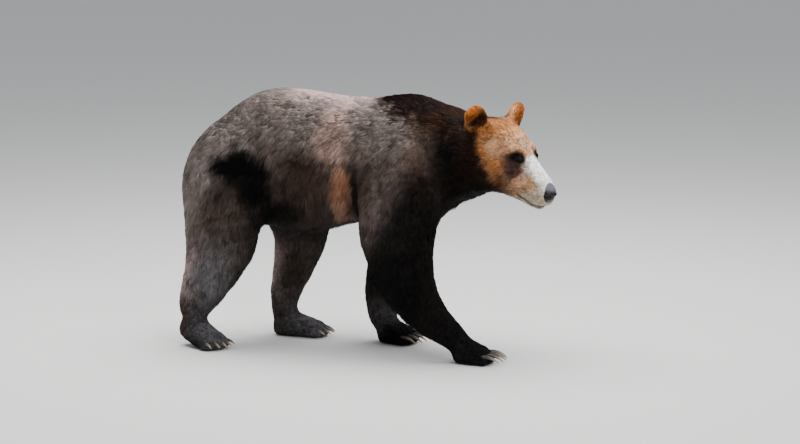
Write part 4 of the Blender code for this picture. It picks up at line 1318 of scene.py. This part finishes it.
def eyeball(side, hand):
    bm = bmesh.new()
    bmesh.ops.create_uvsphere(bm, u_segments=40, v_segments=28, radius=EYE_RADIUS)
    towards_gaze = Matrix.Rotation(math.radians(90), 4, "Y")
    bmesh.ops.transform(bm, matrix=towards_gaze, verts=bm.verts)
    angles = [math.degrees(vert.co.angle(Vector((1, 0, 0)))) for vert in bm.verts]
    for vert, angle in zip(bm.verts, angles):
        bulge = max(0.0, 1 - (angle / CORNEA_HALF_ANGLE) ** 2)
        vert.co += vert.co.normalized() * CORNEA_RISE * bulge
    bmesh.ops.transform(bm, matrix=eye_frame(side, hand), verts=bm.verts)
    bmesh.ops.recalc_face_normals(bm, faces=bm.faces)
    obj = piece_from(f"eyeball_{side}", bm)
    number_attribute(obj.data, "from_gaze", angles)
    smoothly_shaded(obj.data)
    return obj


def eye_finish():
    gloss = {"Specular_IOR_Level": 0.05, "Coat_Weight": 0.06, "Coat_Roughness": 0.03}
    finish = Finish("wet_eye", Roughness=0.25, **gloss)
    angle = finish.attribute("from_gaze")
    iris = finish.mix(finish.noise(900.0, 3.0), tone(16, 9, 6), tone(40, 22, 12))
    colour = finish.mix(angle.between(*PUPIL_EDGE), (0.002, 0.002, 0.002), iris)
    finish.to(Base_Color=finish.mix(angle.between(*IRIS_EDGE), colour, tone(12, 9, 8)))
    return finish.material


# %% Eyelids
LID_STEPS = 40
# how far each loop of the lid lies from its edge to where it meets the face, and its height over the ball
LID_LOOPS = ((0.0, 0.0001), (0.03, 0.0009), (0.12, 0.0016), (0.35, 0.0019), (0.65, 0.0014), (1.0, -0.0004))
LID_BACK = 72.0  # where the lids end on the ball, in degrees from the gaze
CORNER_SHARPNESS = 1.3  # above 1 it draws the slit's corners out to points


def lid_place(turn, back, over):
    """A place on the lids: turn goes round the slit, back into the face, and over is above the ball."""
    along_slit = SLIT_HALF_LENGTH * math.cos(turn)
    reach = UPPER_LID if math.sin(turn) > 0 else LOWER_LID
    up = reach * math.copysign(abs(math.sin(turn)) ** CORNER_SHARPNESS, math.sin(turn))
    edge = math.radians(math.hypot(along_slit, up))
    away = edge + (math.radians(LID_BACK) - edge) * back
    on_gaze = Vector((EYE_RADIUS + over, 0, 0))
    bearing = Matrix.Rotation(math.atan2(up, along_slit), 3, "X")
    return bearing @ Matrix.Rotation(away, 3, "Z") @ on_gaze


def eyelids(side, hand):
    bm = bmesh.new()
    loops = []
    for back, over in LID_LOOPS:
        ring = bmesh.ops.create_circle(bm, segments=LID_STEPS, radius=1.0)["verts"]
        for number, vert in enumerate(ring):
            vert.co = lid_place(2 * math.pi * number / LID_STEPS, back, over)
        loops.append({edge for vert in ring for edge in vert.link_edges})
    for first_loop, second_loop in zip(loops, loops[1:]):
        bmesh.ops.bridge_loops(bm, edges=list(first_loop | second_loop))
    bmesh.ops.transform(bm, matrix=eye_frame(side, hand), verts=bm.verts)
    bmesh.ops.recalc_face_normals(bm, faces=bm.faces)
    obj = piece_from(f"eyelids_{side}", bm)
    smoothly_shaded(obj.data)
    rounded = obj.modifiers.new("rounded", "SUBSURF")
    rounded.levels = rounded.render_levels = 1
    return obj


def lid_finish():
    finish = Finish("lid_skin", Roughness=0.5, Specular_IOR_Level=0.25)
    creases = finish.noise(420.0, 4.0, 0.6)
    finish.to(Base_Color=finish.mix(creases, tone(10, 7, 7), tone(30, 22, 20)))
    finish.bump(creases, 0.5, 0.0006)
    return finish.material


eye_material, lid_material = eye_finish(), lid_finish()
for side, hand in SIDES:
    ball = eyeball(side, hand)
    dressed(ball, eye_material)
    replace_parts(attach(ball, "root"), "eye_" + side)
    lids = eyelids(side, hand)
    dressed(lids, lid_material)
    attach(lids, "root")
print("eye radius", round(EYE_RADIUS * 1000, 1), "mm")

# %% [markdown]
# ## Claws
#
# The claws' solids have the right curve but few sides. A copy of each, rounded by a subdivision surface,
# keeps the curve and loses the corners. Horn is dark at the root and worn pale towards the tip, in uneven
# streaks.

# %% Round the claws
CLAW_SWELL = 0.0007  # what rounding takes off the sides, given back first
CLAW_FLATNESS = 0.9  # how different two triangles may be and still join, in radians


def rounded_claw(node):
    bm = merged_copy(node)
    limits = {"angle_face_threshold": CLAW_FLATNESS, "angle_shape_threshold": CLAW_FLATNESS}
    bmesh.ops.join_triangles(bm, faces=bm.faces, **limits)
    for vert in bm.verts:
        vert.co += vert.normal * CLAW_SWELL
    obj = piece_from(node + "_horn", bm)
    rounded = obj.modifiers.new("rounded", "SUBSURF")
    rounded.levels = rounded.render_levels = 2
    applied(obj)
    root, ahead, reach = claw_axis(node)
    points = vertex_array(obj.data)
    points[:, 2] = np.maximum(points[:, 2], LOWEST)
    put_vertices(obj.data, points)
    number_attribute(obj.data, "along", (points - np.array(root)) @ np.array(ahead) / reach)
    smoothly_shaded(obj.data)
    return obj


def horn_finish():
    finish = Finish("claw_horn", Specular_IOR_Level=0.5)
    streaks = finish.noise(330.0, 3.0, 0.6)
    paler_share = (finish.attribute("along") + (streaks - 0.5) * 0.7).between(0.30, 0.95)
    colour = finish.mix(paler_share, tone(44, 38, 34), tone(150, 134, 116))
    finish.to(Base_Color=colour, Roughness=0.28 + streaks * 0.25)
    finish.bump(streaks, 0.35, 0.0004)
    return finish.material


horn = horn_finish()
for node in CLAWS:
    piece = rounded_claw(node)
    dressed(piece, horn)
    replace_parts(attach(piece, "root"), node)
print(len(CLAWS), "claws")

# %% Hand skin and coat to the frame
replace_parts(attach(skin, "root"), *FLESH)
for piece in coat:
    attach(piece, "root")

# %% [markdown]
# ## The room
#
# A plain pale floor that runs out of sight, a broad soft light overhead for the sheen on the back, a
# softer one from the front, and an even pale surround. The camera stands back fourteen metres with a long
# lens, which is how one looks at a bear.

# %% Floor
FLOOR_RADIUS = 60.0
FLOOR_TONE = tone(228, 227, 224)


def floor_finish():
    finish = Finish("pale_floor", Roughness=0.75)
    finish.to(Base_Color=finish.mix(finish.noise(0.35, 2.0), FLOOR_TONE, FLOOR_TONE * 0.96))
    return finish.material


ground = bmesh.new()
bmesh.ops.create_circle(ground, cap_ends=True, segments=96, radius=FLOOR_RADIUS)
floor = piece_from("floor", ground)
dressed(floor, floor_finish())


# %% Lights
def softbox(name, place_at, look_at, size, power):
    lamp = bpy.data.lights.new(name, "AREA")
    lamp.shape = "RECTANGLE"
    lamp.size, lamp.size_y = size
    lamp.energy = power
    obj = in_scene(name, lamp)
    obj.location = place_at
    obj.rotation_euler = (Vector(look_at) - Vector(place_at)).to_track_quat("-Z", "Y").to_euler()


softbox("overhead", (-0.3, 0.4, 4.0), (0.0, 0.0, 0.6), (4.4, 3.4), 350)
softbox("front", (3.6, -4.2, 2.8), (0.2, 0.0, 0.5), (2.4, 2.0), 160)
world = bpy.data.worlds.new("surround")
bpy.context.scene.world = world
world.use_nodes = True
surround = world.node_tree.nodes["Background"].inputs
surround["Color"].default_value = (0.80, 0.83, 0.87, 1.0)
surround["Strength"].default_value = 0.62

# %% Camera
CAMERA_AIM = Vector((0.0397, 0.1509, 0.4607))
CAMERA_AWAY = 14.0
AZIMUTH, ELEVATION = math.radians(20.0), math.radians(9.0)
FRAME_WIDTH = 3.0  # metres across the view at the aim
SENSOR = 36.0

camera_data = bpy.data.cameras.new("camera")
camera_data.sensor_width = SENSOR
camera_data.lens = SENSOR * CAMERA_AWAY / FRAME_WIDTH
camera_data.clip_end = 200.0
camera = in_scene("camera", camera_data)
back = Matrix.Rotation(AZIMUTH, 3, "Z") @ Matrix.Rotation(-ELEVATION, 3, "X") @ Vector((0, -1, 0))
camera.location = CAMERA_AIM + back * CAMERA_AWAY
camera.rotation_mode = "QUATERNION"
camera.rotation_quaternion = (-back).to_track_quat("-Z", "Y")
bpy.context.scene.camera = camera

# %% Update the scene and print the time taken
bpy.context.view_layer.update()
print("script took", round(time.time() - started, 1), "s")
